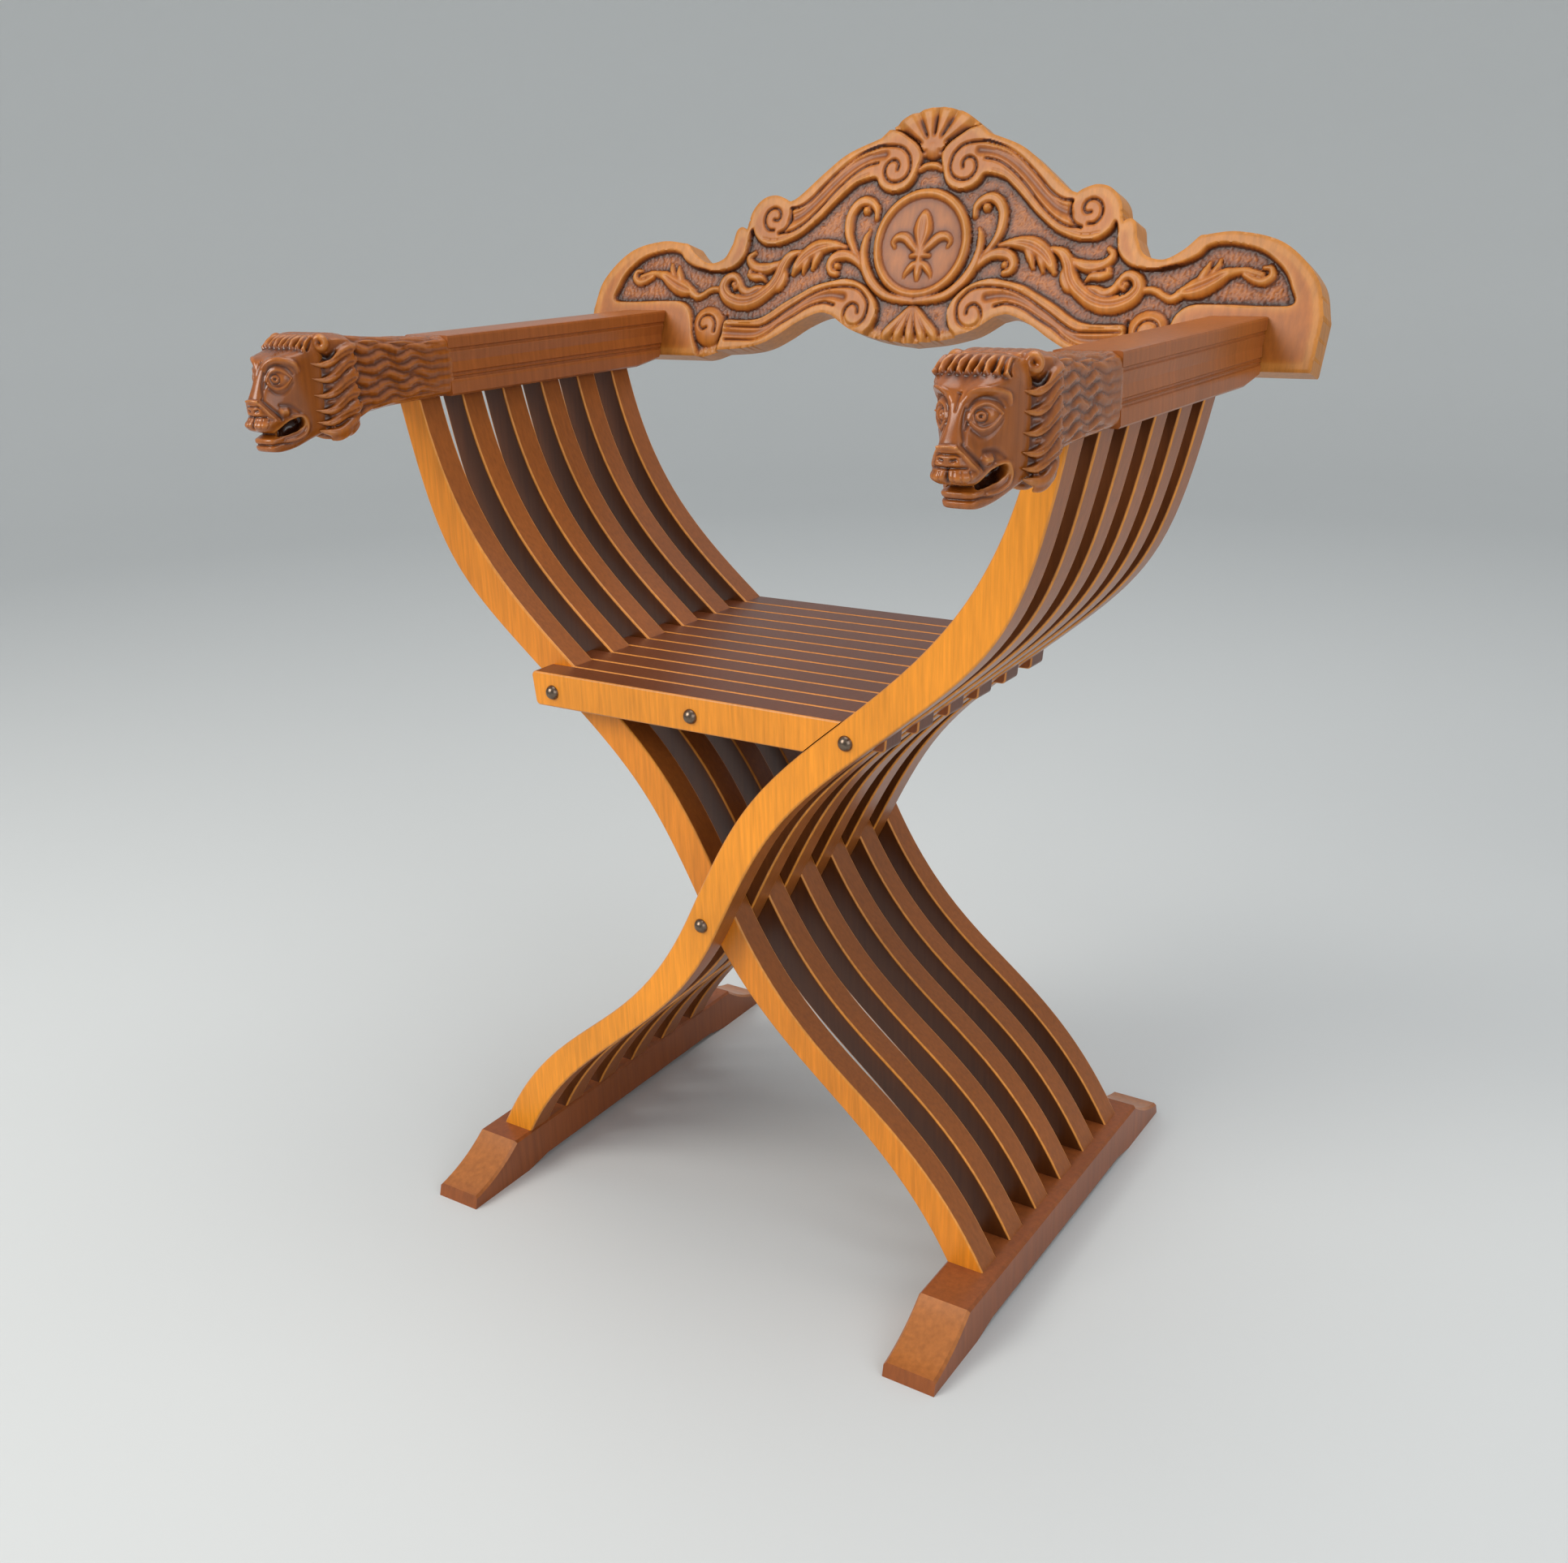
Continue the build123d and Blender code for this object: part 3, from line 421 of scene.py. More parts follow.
# the face, ring by ring from under the chin to the crown
face_mesh = finished(loft((
    ((0, -249, 637.8), (5, -249, 637.8), (8.5, -247.5, 637.8), (9.5, -243, 637.8), (11, -236, 638.5), (13, -229, 641),
     (15, -220, 645.5), (16, -205, 648), (0, -205, 646)),
    ((0, -255.2, 638.2), (6.5, -255, 638.2), (10.4, -253, 638.4), (11.4, -246, 638.4), (13.5, -238, 640),
     (17, -231, 643), (20, -222, 647), (21, -205, 649.5), (0, -203, 649)),
    ((0, -255, 643.6), (6.5, -254.8, 643.6), (10.6, -252.8, 643.6), (11.8, -246, 644), (14.8, -238.5, 645.3),
     (18.8, -231.5, 647.5), (21.5, -222, 650), (22, -205, 652), (0, -203, 652)),
    ((0, -255.6, 648.6), (6.5, -255.4, 648.6), (10.4, -253, 648.6), (11.8, -246, 648.6), (15.2, -238.5, 648.8),
     (19.5, -231.5, 650.5), (22, -222, 653), (22.5, -205, 655), (0, -203, 655)),
    ((0, -246, 650.2), (5, -246, 650.2), (7.5, -245, 650.2), (9.5, -241.5, 651), (13.5, -235.5, 652.5),
     (19.5, -231, 654), (22.3, -222, 656.5), (22.8, -205, 658), (0, -203, 658)),
    ((0, -263.5, 652.2), (6, -264.6, 651.8), (11.4, -261, 652.2), (12.9, -252, 653.6), (14.5, -242, 657.5),
     (19.8, -231.5, 658.5), (22.5, -222, 660), (23, -205, 661), (0, -203, 661)),
    ((0, -266.4, 656.5), (6.5, -268, 656.4), (12.8, -262.5, 656.6), (14, -252.5, 658.6), (15, -243.5, 662),
     (19.8, -233, 662.5), (22.7, -222, 664), (23.2, -205, 665), (0, -203, 665)),
    ((0, -265.8, 662), (6, -266.4, 662), (11, -261.5, 662.2), (13.2, -252, 664.5), (15.5, -243.5, 667),
     (20, -234, 668), (23, -222, 669.5), (23.5, -205, 670), (0, -203, 670)),
    ((0, -268.4, 668.6), (5.8, -267.6, 668.6), (8.8, -262, 669.5), (11.5, -252.5, 672), (16.5, -244, 674),
     (20.8, -235, 675), (23.2, -222, 676), (23.8, -205, 677), (0, -203, 677)),
    ((0, -267.4, 673), (5.2, -266.6, 673), (7, -261, 675.5), (10, -252.5, 678.5), (17.5, -244, 680),
     (21.2, -236, 681), (23.3, -222, 682), (24, -205, 682), (0, -203, 682)),
    ((0, -262.5, 680.5), (4.2, -261.8, 680.5), (5.6, -255.5, 682.5), (9.5, -251.5, 684.5), (18.8, -243, 686.5),
     (21.5, -236, 687), (23.3, -222, 688), (24, -205, 688), (0, -203, 688)),
    ((0, -257.5, 689), (3.9, -257, 689), (5.2, -252.5, 690.5), (9.5, -249.5, 692), (19, -241.5, 693),
     (21.5, -235.5, 693.5), (23.2, -222, 694), (24, -205, 694), (0, -203, 694)),
    ((0, -253.5, 696.5), (4, -254.2, 697.5), (8, -253, 699.3), (13, -250, 700.3), (20, -241, 700), (22.3, -234, 700),
     (23.2, -222, 701), (24, -205, 701), (0, -203, 701)),
    ((0, -249, 700.3), (5, -249.5, 701.3), (9, -248.5, 702.3), (14, -245, 703.3), (20, -237.5, 703.3),
     (22, -231, 704), (22.8, -222, 705.5), (24, -205, 706), (0, -203, 706)),
    ((0, -226, 707.3), (5, -226, 707.3), (9, -226, 707.3), (14, -225.5, 707.3), (18.5, -224, 707.3),
     (21, -221.5, 707.5), (22.5, -216, 708.5), (23.5, -205, 709), (0, -203, 709)),
    ((0, -220, 717.2), (5, -220, 717.2), (9, -220, 717.1), (14, -219.5, 716.8), (18.5, -218, 716), (20.5, -216, 715),
     (21.5, -212, 714), (21.5, -205, 714), (0, -203, 716)),
)), "face", SUBSURF={"levels": 4, "render_levels": 4})

# eye: ball, lids, the folds above and below them, iris and pupil
iris = [(11.6 + 3.1 * math.cos(angle), -250 + 1.8 * math.cos(angle), 687 + 3.3 * math.sin(angle), 0.9, -0.9)
        for angle in np.linspace(0, 2 * math.pi, 13)]
features = [
    ("u", ((8.5, -251, 687, 6.4, 1.5), (16, -246.8, 687.8, 6.4, 1.5))),
    ("u", ((4.4, -253, 684.8, 1.0, 0.8), (7.6, -252, 690.6, 1.6, 1.0), (12.4, -249, 693.4, 1.9, 1.2),
           (17.4, -245.3, 692.2, 1.7, 1.0), (21.2, -241.5, 687.8, 1.0, 0.9))),
    ("v", ((5.4, -253, 690, 1.4, -0.5), (8.6, -251.8, 694.6, 1.6, -0.8), (13.2, -249, 696.6, 1.7, -0.9),
           (18.6, -244.6, 695, 1.6, -0.7), (22, -240, 690.6, 1.1, -0.6))),
    ("u", ((4.4, -253, 684.8, 0.9, 0.7), (8, -251.6, 681.4, 1.5, 0.8), (12.6, -249.4, 680, 1.7, 0.9),
           (17.4, -245.8, 682, 1.5, 0.8), (21.2, -241.5, 687.8, 0.9, 0.8))),
    ("v", ((6.8, -252.8, 679.4, 1.4, -0.4), (12.4, -250, 676.4, 2.2, -0.45), (18.4, -245.6, 678.4, 2.1, -0.45),
           (22.4, -240.4, 684.4, 1.4, -0.4))),
    ("v", iris),
    ("u", ((11.2, -250.2, 687, 1.5, -1.5), (11.8, -249.8, 687, 1.5, -1.5))),
    ("v", ((5.2, -253.4, 684.2, 1.3, -1.1), (4.8, -256, 680, 1.2, -0.6))),
    # brow, with the knob at its outer end, and the frown between the brows
    ("u", ((3.6, -254.6, 695, 2.4, 0.4), (7.4, -253.6, 699, 3.2, 0.8), (13.4, -249.6, 701, 3.6, 1.0),
           (19.6, -243, 699.6, 3.4, 1.4), (22.6, -237.5, 697, 3.2, 1.7), (23.2, -235, 693, 2.8, 0.8))),
    ("v", ((0, -252, 701.5, 1.8, -1.2), (0, -256, 690, 1.3, -0.5))),
    # sides and front edge of the nose, the crease under its tip, its wings and the nostrils
    ("u", ((4.9, -254.5, 691, 2.0, -0.8), (6.4, -259, 682, 2.6, -0.9), (8.6, -261.5, 675, 2.2, -0.7))),
    ("u", ((0, -267.6, 673, 1.9, 1.3), (5.6, -266.8, 672.8, 1.9, 1.3))),
    ("v", ((0, -267.8, 669, 1.4, -1.6), (6.6, -266.8, 669, 1.4, -1.5), (9, -264.5, 668, 1.0, -0.4))),
    ("u", ((5.8, -266.6, 672.2, 1.5, 1.0), (9.6, -263.6, 668, 1.9, 1.2), (12.4, -259.8, 663, 2.0, 1.3),
           (13.6, -256, 659.4, 1.6, 0.7))),
    ("v", ((8.4, -262.8, 674, 1.8, -0.9), (12.2, -259, 669, 2.2, -1.1), (14.6, -254, 663.6, 2.2, -1.0),
           (15, -250, 659.4, 1.4, -0.6))),
    ("u", ((3.0, -267.4, 665.6, 1.9, -1.5), (5.4, -266.8, 666, 1.9, -1.5))),
    # upper lip: a roll parted in the middle and scored with whiskers, with a crease over it
    ("v", ((0, -266, 661.6, 1.5, -1.6), (5, -266, 661.8, 1.5, -1.6), (10.5, -262.5, 661.8, 1.3, -1.2))),
    ("v", ((0, -266.5, 661, 1.4, -1.5), (0, -265.5, 652, 1.6, -2.0))),
    ("u", ((3, -267.6, 656.6, 3.4, 0.9), (9, -266, 656.4, 3.4, 1.1), (12.8, -260.5, 656.8, 3.0, 0.9),
           (13.8, -253, 658.8, 2.2, 0.4))),
    ("v", ((4.4, -267, 660, 0.9, -0.4), (4.6, -267, 654, 0.9, -0.4))),
    ("v", ((8.4, -265.6, 660, 0.9, -0.4), (8.6, -265.6, 654, 0.9, -0.4))),
    ("v", ((12, -261.5, 660, 0.8, -0.6), (12.2, -261.5, 654.4, 0.8, -0.6))),
    ("u", ((12.8, -249, 664.2, 4.0, 2.6), (14.8, -246, 664.6, 4.0, 2.6))),
    ("u", ((14.6, -251, 669.5, 2.2, -0.4), (18, -243, 668.6, 2.8, -0.5), (20.8, -236, 664, 2.4, -0.4))),
    # mouth, open at the side, with a raised rim behind and below it
    ("flat", ((11, -249, 650.6, 3.2, -4.5), (13.6, -244.6, 652, 4.4, -8.5), (16.6, -239.6, 654.2, 4.8, -9.5),
              (18.6, -236, 656.2, 4.2, -7.5))),
    ("u", ((16.4, -241, 661.4, 1.7, 0.9), (20.6, -234, 661, 2.0, 0.9), (22.2, -230.4, 655.5, 2.2, 1.3),
           (20.6, -231.6, 649.6, 2.2, 1.4), (16.8, -236.8, 646.4, 2.0, 1.4), (13.2, -243.8, 645.4, 1.7, 0.8))),
    # lower lip and chin, parted by a groove all round
    ("u", ((0, -255.4, 646.6, 2.0, 0.8), (10.2, -253.4, 646.6, 2.0, 0.8), (12, -247, 647, 1.6, 0.5))),
    ("v", ((0, -255.2, 643.2, 1.5, -1.8), (10.4, -253, 643.4, 1.4, -1.6), (12, -247, 644, 1.2, -1.1),
           (14.5, -240, 643.2, 1.0, -0.4))),
]
# the fringe, a row of short curls with a pit between each and the next
curl_pitch = 5.2
for column in range(5):
    across = column * curl_pitch
    lean = (0.9 if column % 2 else -0.7) if column else 0
    rear = 0.005 * across * across
    pit = across + curl_pitch / 2
    features.append(("u", ((across * 0.97, -214 + rear, 717.4, 2.2, 0.4), (across, -220.5 + rear, 716.4, 2.9, 1.6),
                           (across + lean, -224.5 + rear, 711.8, 3.1, 3.2), (across, -228 + rear, 706.8, 2.5, 2.9))))
    features.append(("v", ((pit, -217 + rear, 717, 1.2, -0.8), (pit, -222.5 + rear, 713.4, 1.4, -1.6),
                           (pit, -226 + rear, 708.8, 1.9, -2.6))))
carve(face_mesh, features)

# the ruff and the block behind it, with room for the locks
ruff = loft([[(0, y, low), (half * 0.7, y, low), (half * 0.97, y, low + 3.5), (half, y, low + 9),
              (half, y, (low + high) / 2), (half, y, high - 9), (half * 0.97, y, high - 3.5), (half * 0.7, y, high),
              (0, y, high)]
             for y, half, low, high in (
    (-80, 22.2, 661, 704.6), (-86, 23.2, 660.2, 706), (-96, 23.4, 660.1, 706.2), (-125, 23.7, 659.8, 707.8),
    (-150, 24, 659, 710.2), (-168, 24.2, 657.2, 712.2), (-182, 24.4, 652, 713.8), (-185, 25, 650.5, 714.2),
    (-187.5, 27.8, 648.5, 714.8), (-197, 28.2, 645.2, 716), (-207, 26.4, 644.6, 716.8), (-214, 22.5, 648, 716.6),
    (-219, 18.5, 653, 714))])
strands = bpy.data.curves.new("locks", "CURVE")
strands.dimensions = "3D"
strands.bevel_depth = 1
strands.bevel_resolution = 3
strands.use_fill_caps = True
strands.resolution_u = 6


def lock(points):
    """A lock of hair through points of (x, y, z, thickness), on both sides of the head."""
    for side in (1, -1):
        strand = strands.splines.new("NURBS")
        strand.points.add(len(points) - 1)
        for p, (x, y, z, thick) in zip(strand.points, points):
            p.co = (side * x, y, z, 1)
            p.radius = thick
        strand.order_u = 4
        strand.use_endpoint_u = True


# pointed locks over the cheek, each rising towards the back, and the tufts below them
cheek_locks = ((697.5, 706, 1), (687, 697, 1.5), (675.5, 686, 0), (665, 674.5, 1.5), (656.5, 664, 0.5))
for tip, root, bend in cheek_locks:
    lock(((22.6, -223, tip + 0.5, 0.5), (24.6, -216.5, tip - 1.8, 1.7), (27, -209.5, tip - 1 - bend, 2.9),
          (28.2, -202, tip + 4, 3.7), (28.4, -195, root - 2 + bend, 4.3), (27.4, -187.5, root - 0.5, 4.4),
          (23, -181, root + 1, 3)))
for tip, root in ((692.5, 702), (681.5, 691.5), (670.5, 680), (660.8, 669)):
    lock(((25, -211.5, tip - 1, 0.5), (27.4, -205.5, tip - 0.5, 1.5), (29, -199, tip + 3, 2.2),
          (29.6, -192, root - 3, 2.5), (28, -186.8, root - 1, 2.1)))
lock(((22, -221, 650.5, 0.6), (25, -215, 648.5, 2.6), (27.2, -208, 647, 3.6), (28, -200, 650.5, 4.0),
      (27.4, -190, 656.5, 3.8), (24, -183, 659, 2)))
lock(((24.5, -213.5, 643.2, 0.7), (26.6, -208, 642.8, 2.2), (27.6, -202, 645.5, 3.2), (27.6, -195, 650, 3.4),
      (25, -186, 654.5, 2)))
lock(((25.5, -200, 643.8, 0.6), (27.3, -196, 644.4, 1.9), (27.4, -191, 648.5, 2.4), (26, -186.5, 652, 1.6)))
lock(((13, -216, 646, 1), (17, -209, 643.4, 3), (19, -200, 644.5, 3.4), (19, -188, 650, 3)))
lock(((4, -214, 647, 1), (6.5, -207, 644, 3), (8.5, -198, 645.5, 3.4), (8, -186, 651, 3)))
# locks over the crown, from the fringe back
for across in (3.2, 9.8, 16.2):
    lock(((across, -217, 714.5, 1.5), (across + 1, -210, 715.2, 2.8), (across - 1, -200, 714.8, 3),
          (across + 0.8, -190, 713.4, 2.8), (across, -180, 711.8, 1.5)))
tangle = bpy.data.objects.new("locks", strands)
bpy.context.scene.collection.objects.link(tangle)
bpy.context.view_layer.update()
ruff.from_mesh(bpy.data.meshes.new_from_object(tangle.evaluated_get(bpy.context.evaluated_depsgraph_get())))
bpy.data.objects.remove(tangle)
# ears, round and set in the corners between the fringe and the ruff
for side in (1, -1):
    ear = bmesh.ops.create_uvsphere(ruff, u_segments=24, v_segments=16, radius=6.6)["verts"]
    bmesh.ops.scale(ruff, vec=(0.9, 0.9, 1), verts=ear)
    bmesh.ops.translate(ruff, vec=(side * 23, -210.8, 710.8), verts=ear)
bmesh.ops.recalc_face_normals(ruff, faces=ruff.faces)
mane_mesh = finished(ruff, "mane", REMESH={"mode": "VOXEL", "voxel_size": 0.95},
                     SMOOTH={"factor": 0.5, "iterations": 2})
# the hollow of the ear and the pit behind the temple
hair = [("u", ((25, -216, 711.6, 4.2, -4.4), (26, -215, 711.2, 4.2, -4.4))),
        ("u", ((23.5, -214.5, 702, 2.8, -3.2), (26.8, -208, 700.6, 3.0, -3.4), (28, -202, 703.5, 2.0, -1.6)))]
# wavy grooves between the locks on the arm's side, dying out where the mouldings begin
for row, phase in enumerate((0.2, 1.0, 1.9, 0.7, 1.5, 2.3, 1.2)):
    points = []
    for y in range(-183, -82, 5):
        fade = min(1, max(0, (-84 - y) / 40))
        wave = (0.4 + 1.7 * fade) * math.sin((y + 183) / 5.1 + phase)
        low = float(np.interp(y, (-185, -168, -150), (652, 658.5, 660.5)))
        high = float(np.interp(y, (-185, -150, -84), (713.5, 709, 704)))
        depth = (0.6 + 1.5 * fade) * (0.4 if y > -88 else 1)
        points.append((24.3, y, low + (high - low) * (row + 0.55) / 7 + wave, 3.4, -depth))
    hair.append(("v", points))
    # a finer line between this groove and the next
    hair.append(("v", [(x, y, z + 3 + 0.8 * math.sin(y / 4.3 + row), 1.3, -0.35) for x, y, z, *width in points[:-2]]))
# and along the top of the arm
for row in range(5):
    across = 2.6 + row * 4.6
    hair.append(("v", [
        (across + 1.1 * math.sin(y / 5.2 + row), y, float(np.interp(y, (-185, -150, -84), (714, 710, 705.6))), 2.1,
         -1.5 if y < -92 else -0.4) for y in range(-184, -86, 8)]))
# a gouge cut along each lock of the cheek
for tip, root, bend in cheek_locks:
    hair.append(("v", ((26.6, -214, tip - 1.2, 0.8, -0.6), (30.6, -204, tip + 2.4, 1.4, -1.3),
                       (32, -196, root - 3.4 + bend, 1.5, -1.5), (31, -188.5, root - 1.2, 1.4, -1.2))))
carve(mane_mesh, hair)

# the relief of the carvings, from which their wood is painted dark in the hollows as shade and light on the ridges as
# a highlight
mark_relief_for_shading(face_mesh, 1.1)
mark_relief_for_shading(mane_mesh, 2.0)
# the lions' wood: its darkest colour is painted shade in the deepest hollows, its lightest a painted highlight on the
# highest ridges
lion_wood = varnished_wood("lion_wood", (
    (0.08, (0.04, 0.01, 0.003)), (0.36, (0.15, 0.036, 0.005)), (0.5, (0.27, 0.07, 0.007)),
    (0.7, (0.38, 0.108, 0.014)), (0.95, (0.5, 0.18, 0.035))),
    grain_scale=240, roughness=0.24, coat=0.3, carved=True)
# no two are alike: the right one has the steeper forehead, the left one the shorter muzzle
forehead_foot, forehead_forward = 697, 14.5
chin_top, muzzle_back, muzzle_shrink = 645, 222, 0.16
for hand, side in (("left", -1), ("right", 1)):
    for part, mesh in (("face", face_mesh), ("mane", mane_mesh)):
        piece = bpy.data.objects.new(f"lion_{part}_{hand}", mesh.copy())
        piece.data.name = piece.name
        if part == "face":
            for v in piece.data.vertices:
                forward = -v.co.y
                if hand == "right":
                    share = min(1, max(0, (v.co.z - forehead_foot) / 12)) * min(1, max(0, (forward - 206) / 12))
                    v.co.y -= forehead_forward * share * share * (3 - 2 * share)
                else:
                    beyond = min(1, max(0, (v.co.z - chin_top) / 15)) * max(0, forward - muzzle_back)
                    v.co.y += muzzle_shrink * beyond
                    v.co.z += 0.06 * min(30, beyond)
        piece.data.transform(Matrix.Translation((side * arm_middle, 0, 0)) @ Matrix.Scale(millimetre, 4))
        piece.data.materials.clear()
        piece.data.materials.append(lion_wood)
        for face in piece.data.polygons:
            face.use_smooth = True
        bpy.context.scene.collection.objects.link(piece)
        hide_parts(f"arm_{hand}")
        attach(piece, "frame_b" if hand == "left" else "frame_a")

# Crest rail: a plank of the same beech, sawn to a double scroll with a shell at its crown and
# carved in low relief on a punched ground, with a lily in the roundel. It slides down over the
# left arm's dovetail. Figures are in millimetres along and up the plank, for its right half.


def inside(places, outline):
    """Which places lie within a closed outline."""
    within = np.zeros(len(places), bool)
    x, y = places[:, 0], places[:, 1]
    for (ax, ay), (bx, by) in zip(outline, np.roll(outline, -1, 0)):
        if ay != by:
            within ^= ((ay > y) != (by > y)) & (x < ax + (y - ay) * (bx - ax) / (by - ay))
    return within


rail_edge = np.vstack([flow(run, 8)[:-1] for run in (
    ((0, 15.37), (26.14, 18.28), (44.81, 22.22), (59.41, 27.0), (77.41, 37.8)),
    ((77.41, 37.8), (89.97, 39.46), (110, 31.57), (127.99, 20.77), (145.99, 12.05), (165, 7.89), (191.82, 5.82)),
    ((191.82, 5.82), (203.7, 1.66), (212.19, 0)),
    ((212.19, 0), (267.9, 0)), ((267.9, 0), (336.44, 0)), ((336.44, 0), (339.5, 40.09)),
    ((339.5, 40.09), (330.67, 67.92), (303.17, 93.05), (267.87, 101.98), (238.67, 99.7)),
    ((238.67, 99.7), (226.79, 88.9), (212.19, 82.04), (196.57, 85.99), (188.76, 98.66)),
    ((188.76, 98.66), (186.05, 110.08), (180.95, 113.4), (175.52, 111.12)),
    ((175.52, 111.12), (171.45, 126.9), (161.94, 137.08), (150.06, 139.99), (139.2, 137.08), (134.1, 133.97)),
    ((134.1, 133.97), (127.99, 136.25), (119.84, 142.07), (100.15, 158.48), (80.12, 172.6), (49.91, 184.02)),
    ((49.91, 184.02), (38.02, 193.99), (21.73, 203.13), (0.01, 207.6)),
)] + [np.array([(0.0, 207.6)])])
rail_bound = np.vstack((rail_edge, [(-60, 207.6), (-60, 15.37)]))
rail_thickness = 24
cell_count = (636, 194)

plank = bmesh.new()
bmesh.ops.create_grid(plank, x_segments=cell_count[0], y_segments=cell_count[1], size=0.5)
bmesh.ops.transform(plank, verts=plank.verts,
                    matrix=Matrix.Translation((0, 104, 0)) @ Matrix.Diagonal((680, 209, 1, 1)))
places = np.array([v.co[:2] for v in plank.verts])
hands = np.where(places[:, 0] < 0, -1, 1)
places[:, 0] = abs(places[:, 0])
ground = -5.5
level = np.full(len(places), ground)
stipple = np.random.default_rng(5).normal(0, 0.22, len(places))


def field(outline, top, wall=2.2):
    """Leaves what lies within an outline standing to a height, with steep walls."""
    line = flow(outline, 4)
    low, high = line.min(0) - wall, line.max(0) + wall
    near = np.flatnonzero(((places > low) & (places < high)).all(1))
    away = nearest(places[near], np.vstack((line, line[:1])))[0]
    share = np.clip(np.where(inside(places[near], line), away, -away) / wall + 0.5, 0, 1)
    level[near] = np.maximum(level[near], ground + (top - ground) * share * share * (3 - 2 * share))


def stroke(points, tallest=4.9, vein=0.0, fuller=1.0):
    """Leaves a rounded stem or leaf standing on the ground, through points of (x, y, half width)."""
    line = flow(points, 5)
    line[:, 2] *= fuller
    reach = line[:, 2].max()
    low, high = line[:, :2].min(0) - reach, line[:, :2].max(0) + reach
    near = np.flatnonzero(((places > low) & (places < high)).all(1))
    away, at = nearest(places[near], line[:, :2])
    half = np.interp(at, np.arange(len(line)), line[:, 2])
    share = np.clip(away / np.maximum(half, 1e-6), 0, 1)
    height = np.minimum(tallest, 1.4 + 0.75 * half) * np.sqrt(1 - share ** 2)
    height -= vein * np.clip(1 - share / 0.35, 0, 1) * np.clip(half / 3 - 1, 0, 1)
    level[near] = np.maximum(level[near], ground + height * (share < 1))


def groove(points, half, depth):
    """Runs a gouge of one width along a line."""
    line = flow(points, 5)
    low, high = line.min(0) - half, line.max(0) + half
    near = np.flatnonzero(((places > low) & (places < high)).all(1))
    away = nearest(places[near], line)[0]
    level[near] -= depth * (0.5 + 0.5 * np.cos(np.pi * np.clip(away / half, 0, 1)))


# the two bands with their volutes, the rim of the end panel and the small volute below it
field(((9, 170), (14, 177), (24, 184), (37, 190), (60, 188), (90, 172), (110, 158), (131, 142), (134, 150),
       (175, 150), (175, 125), (170, 113), (166, 105), (158, 99), (150, 97.5), (140, 98), (130, 101), (120, 105.5),
       (110, 112.5), (100, 120.5), (90, 130), (80, 139), (70, 147), (60, 150.5), (51, 151.5), (47, 146), (40, 141),
       (30, 139.5), (21, 142), (15, 148), (11.5, 157), (9, 165)), -0.3)
field(((33, 43), (36, 50), (42, 57), (50, 63), (60, 67), (70, 68.5), (80, 67), (90, 65), (100, 62), (110, 57),
       (120, 52), (130, 46.5), (140, 40), (150, 35), (160, 33), (175, 32.5), (188, 32), (190, 20), (190, -6),
       (120, -6), (50, -6), (44, 20), (37, 28), (33.5, 36)), -0.3)
field(((166, 116), (171, 108), (172.5, 98), (174, 90), (178, 84), (184, 79), (190, 76.5), (200, 75), (210, 75),
       (220, 77), (230, 80), (240, 85), (246, 91), (255, 93.5), (265, 93), (280, 90), (290, 86), (297, 81), (303, 76),
       (308, 70), (312, 62), (316, 50), (300, 48), (260, 49), (240, 48.5), (230, 43), (225, 34), (222, 20), (218, -8),
       (280, -8), (350, -8), (350, 60), (340, 120), (260, 125), (200, 125), (178, 122)), -0.3)
stroke(((207, 27, 17.5), (207.5, 27, 17.5)), 5.0)
# rolls and coves along the bands, running out into the volutes
for run in (
    ((131, 127.5), (122, 129.5), (112, 135.5), (100, 147), (90, 156), (80, 164), (70, 170), (60, 173.8), (45, 177.3),
     (30, 176), (22, 170), (19, 163), (19, 156), (22.5, 150.5), (29, 147.5), (36.5, 148), (41.5, 152.5),
     (42.5, 158.5), (39.5, 164), (34, 165.5), (30, 162), (30.5, 157.5)),
    ((141, 107.5), (130, 108.5), (120, 113), (110, 120.5), (100, 130), (90, 140.5), (80, 149.5), (70, 157), (60, 162),
     (50, 164)),
    ((131, 127.5), (130.2, 120.5), (132.5, 114), (136, 110), (141.5, 107.3)),
    ((147, 110), (152, 110.5), (156, 114), (157.5, 120), (155, 126), (149, 129), (143.5, 127), (141.5, 122),
     (144, 118.5), (148, 119)),
    ((186, 27), (155, 26.5), (145, 28.5), (135, 34), (125, 40.5), (115, 46.5), (105, 52.5), (95, 57), (85, 60),
     (72, 61.5), (60, 61.2), (52, 58.5), (46, 53), (42.5, 47), (42.8, 40), (45, 34), (50, 30), (56, 29), (62, 31.5),
     (65, 37), (63.5, 43.5), (58, 47.5), (52.5, 45), (51.5, 40)),
    ((186, 15.5), (160, 15.5), (150, 17), (140, 22), (130, 29), (115, 37.5), (105, 43), (95, 47), (85, 48.5),
     (76, 46.5)),
    ((199, 22), (198.5, 29), (202, 34.5), (208, 36.5), (214, 34), (216, 28), (212, 24), (207.5, 25.5)),
    ((189.5, 36), (190.5, 28), (192.5, 18), (196, 6)),
):
    groove(run, 1.9, 2.1)
for run in (
    ((130, 118), (118, 123.5), (105, 134), (95, 143.5), (85, 152.5), (75, 160), (65, 165.5), (55, 169), (44, 170.5)),
    ((186, 21), (158, 20.5), (146, 24), (132, 32), (118, 40.5), (104, 48.5), (92, 53), (80, 54.5), (68, 53)),
):
    groove(run, 5.6, 1.5)
for run in (
    ((132, 122), (120, 126.5), (108, 137), (95, 149), (82, 159.5), (70, 166.5), (58, 170.8)),
    ((184, 30), (156, 30), (143, 34.5), (130, 42), (115, 50.5), (100, 58)),
    ((158, 103.5), (145, 101.5), (132, 104.5), (120, 109), (108, 117.5), (95, 129.5), (82, 142), (70, 150.5),
     (58, 155)),
):
    groove(run, 1.1, 0.7)
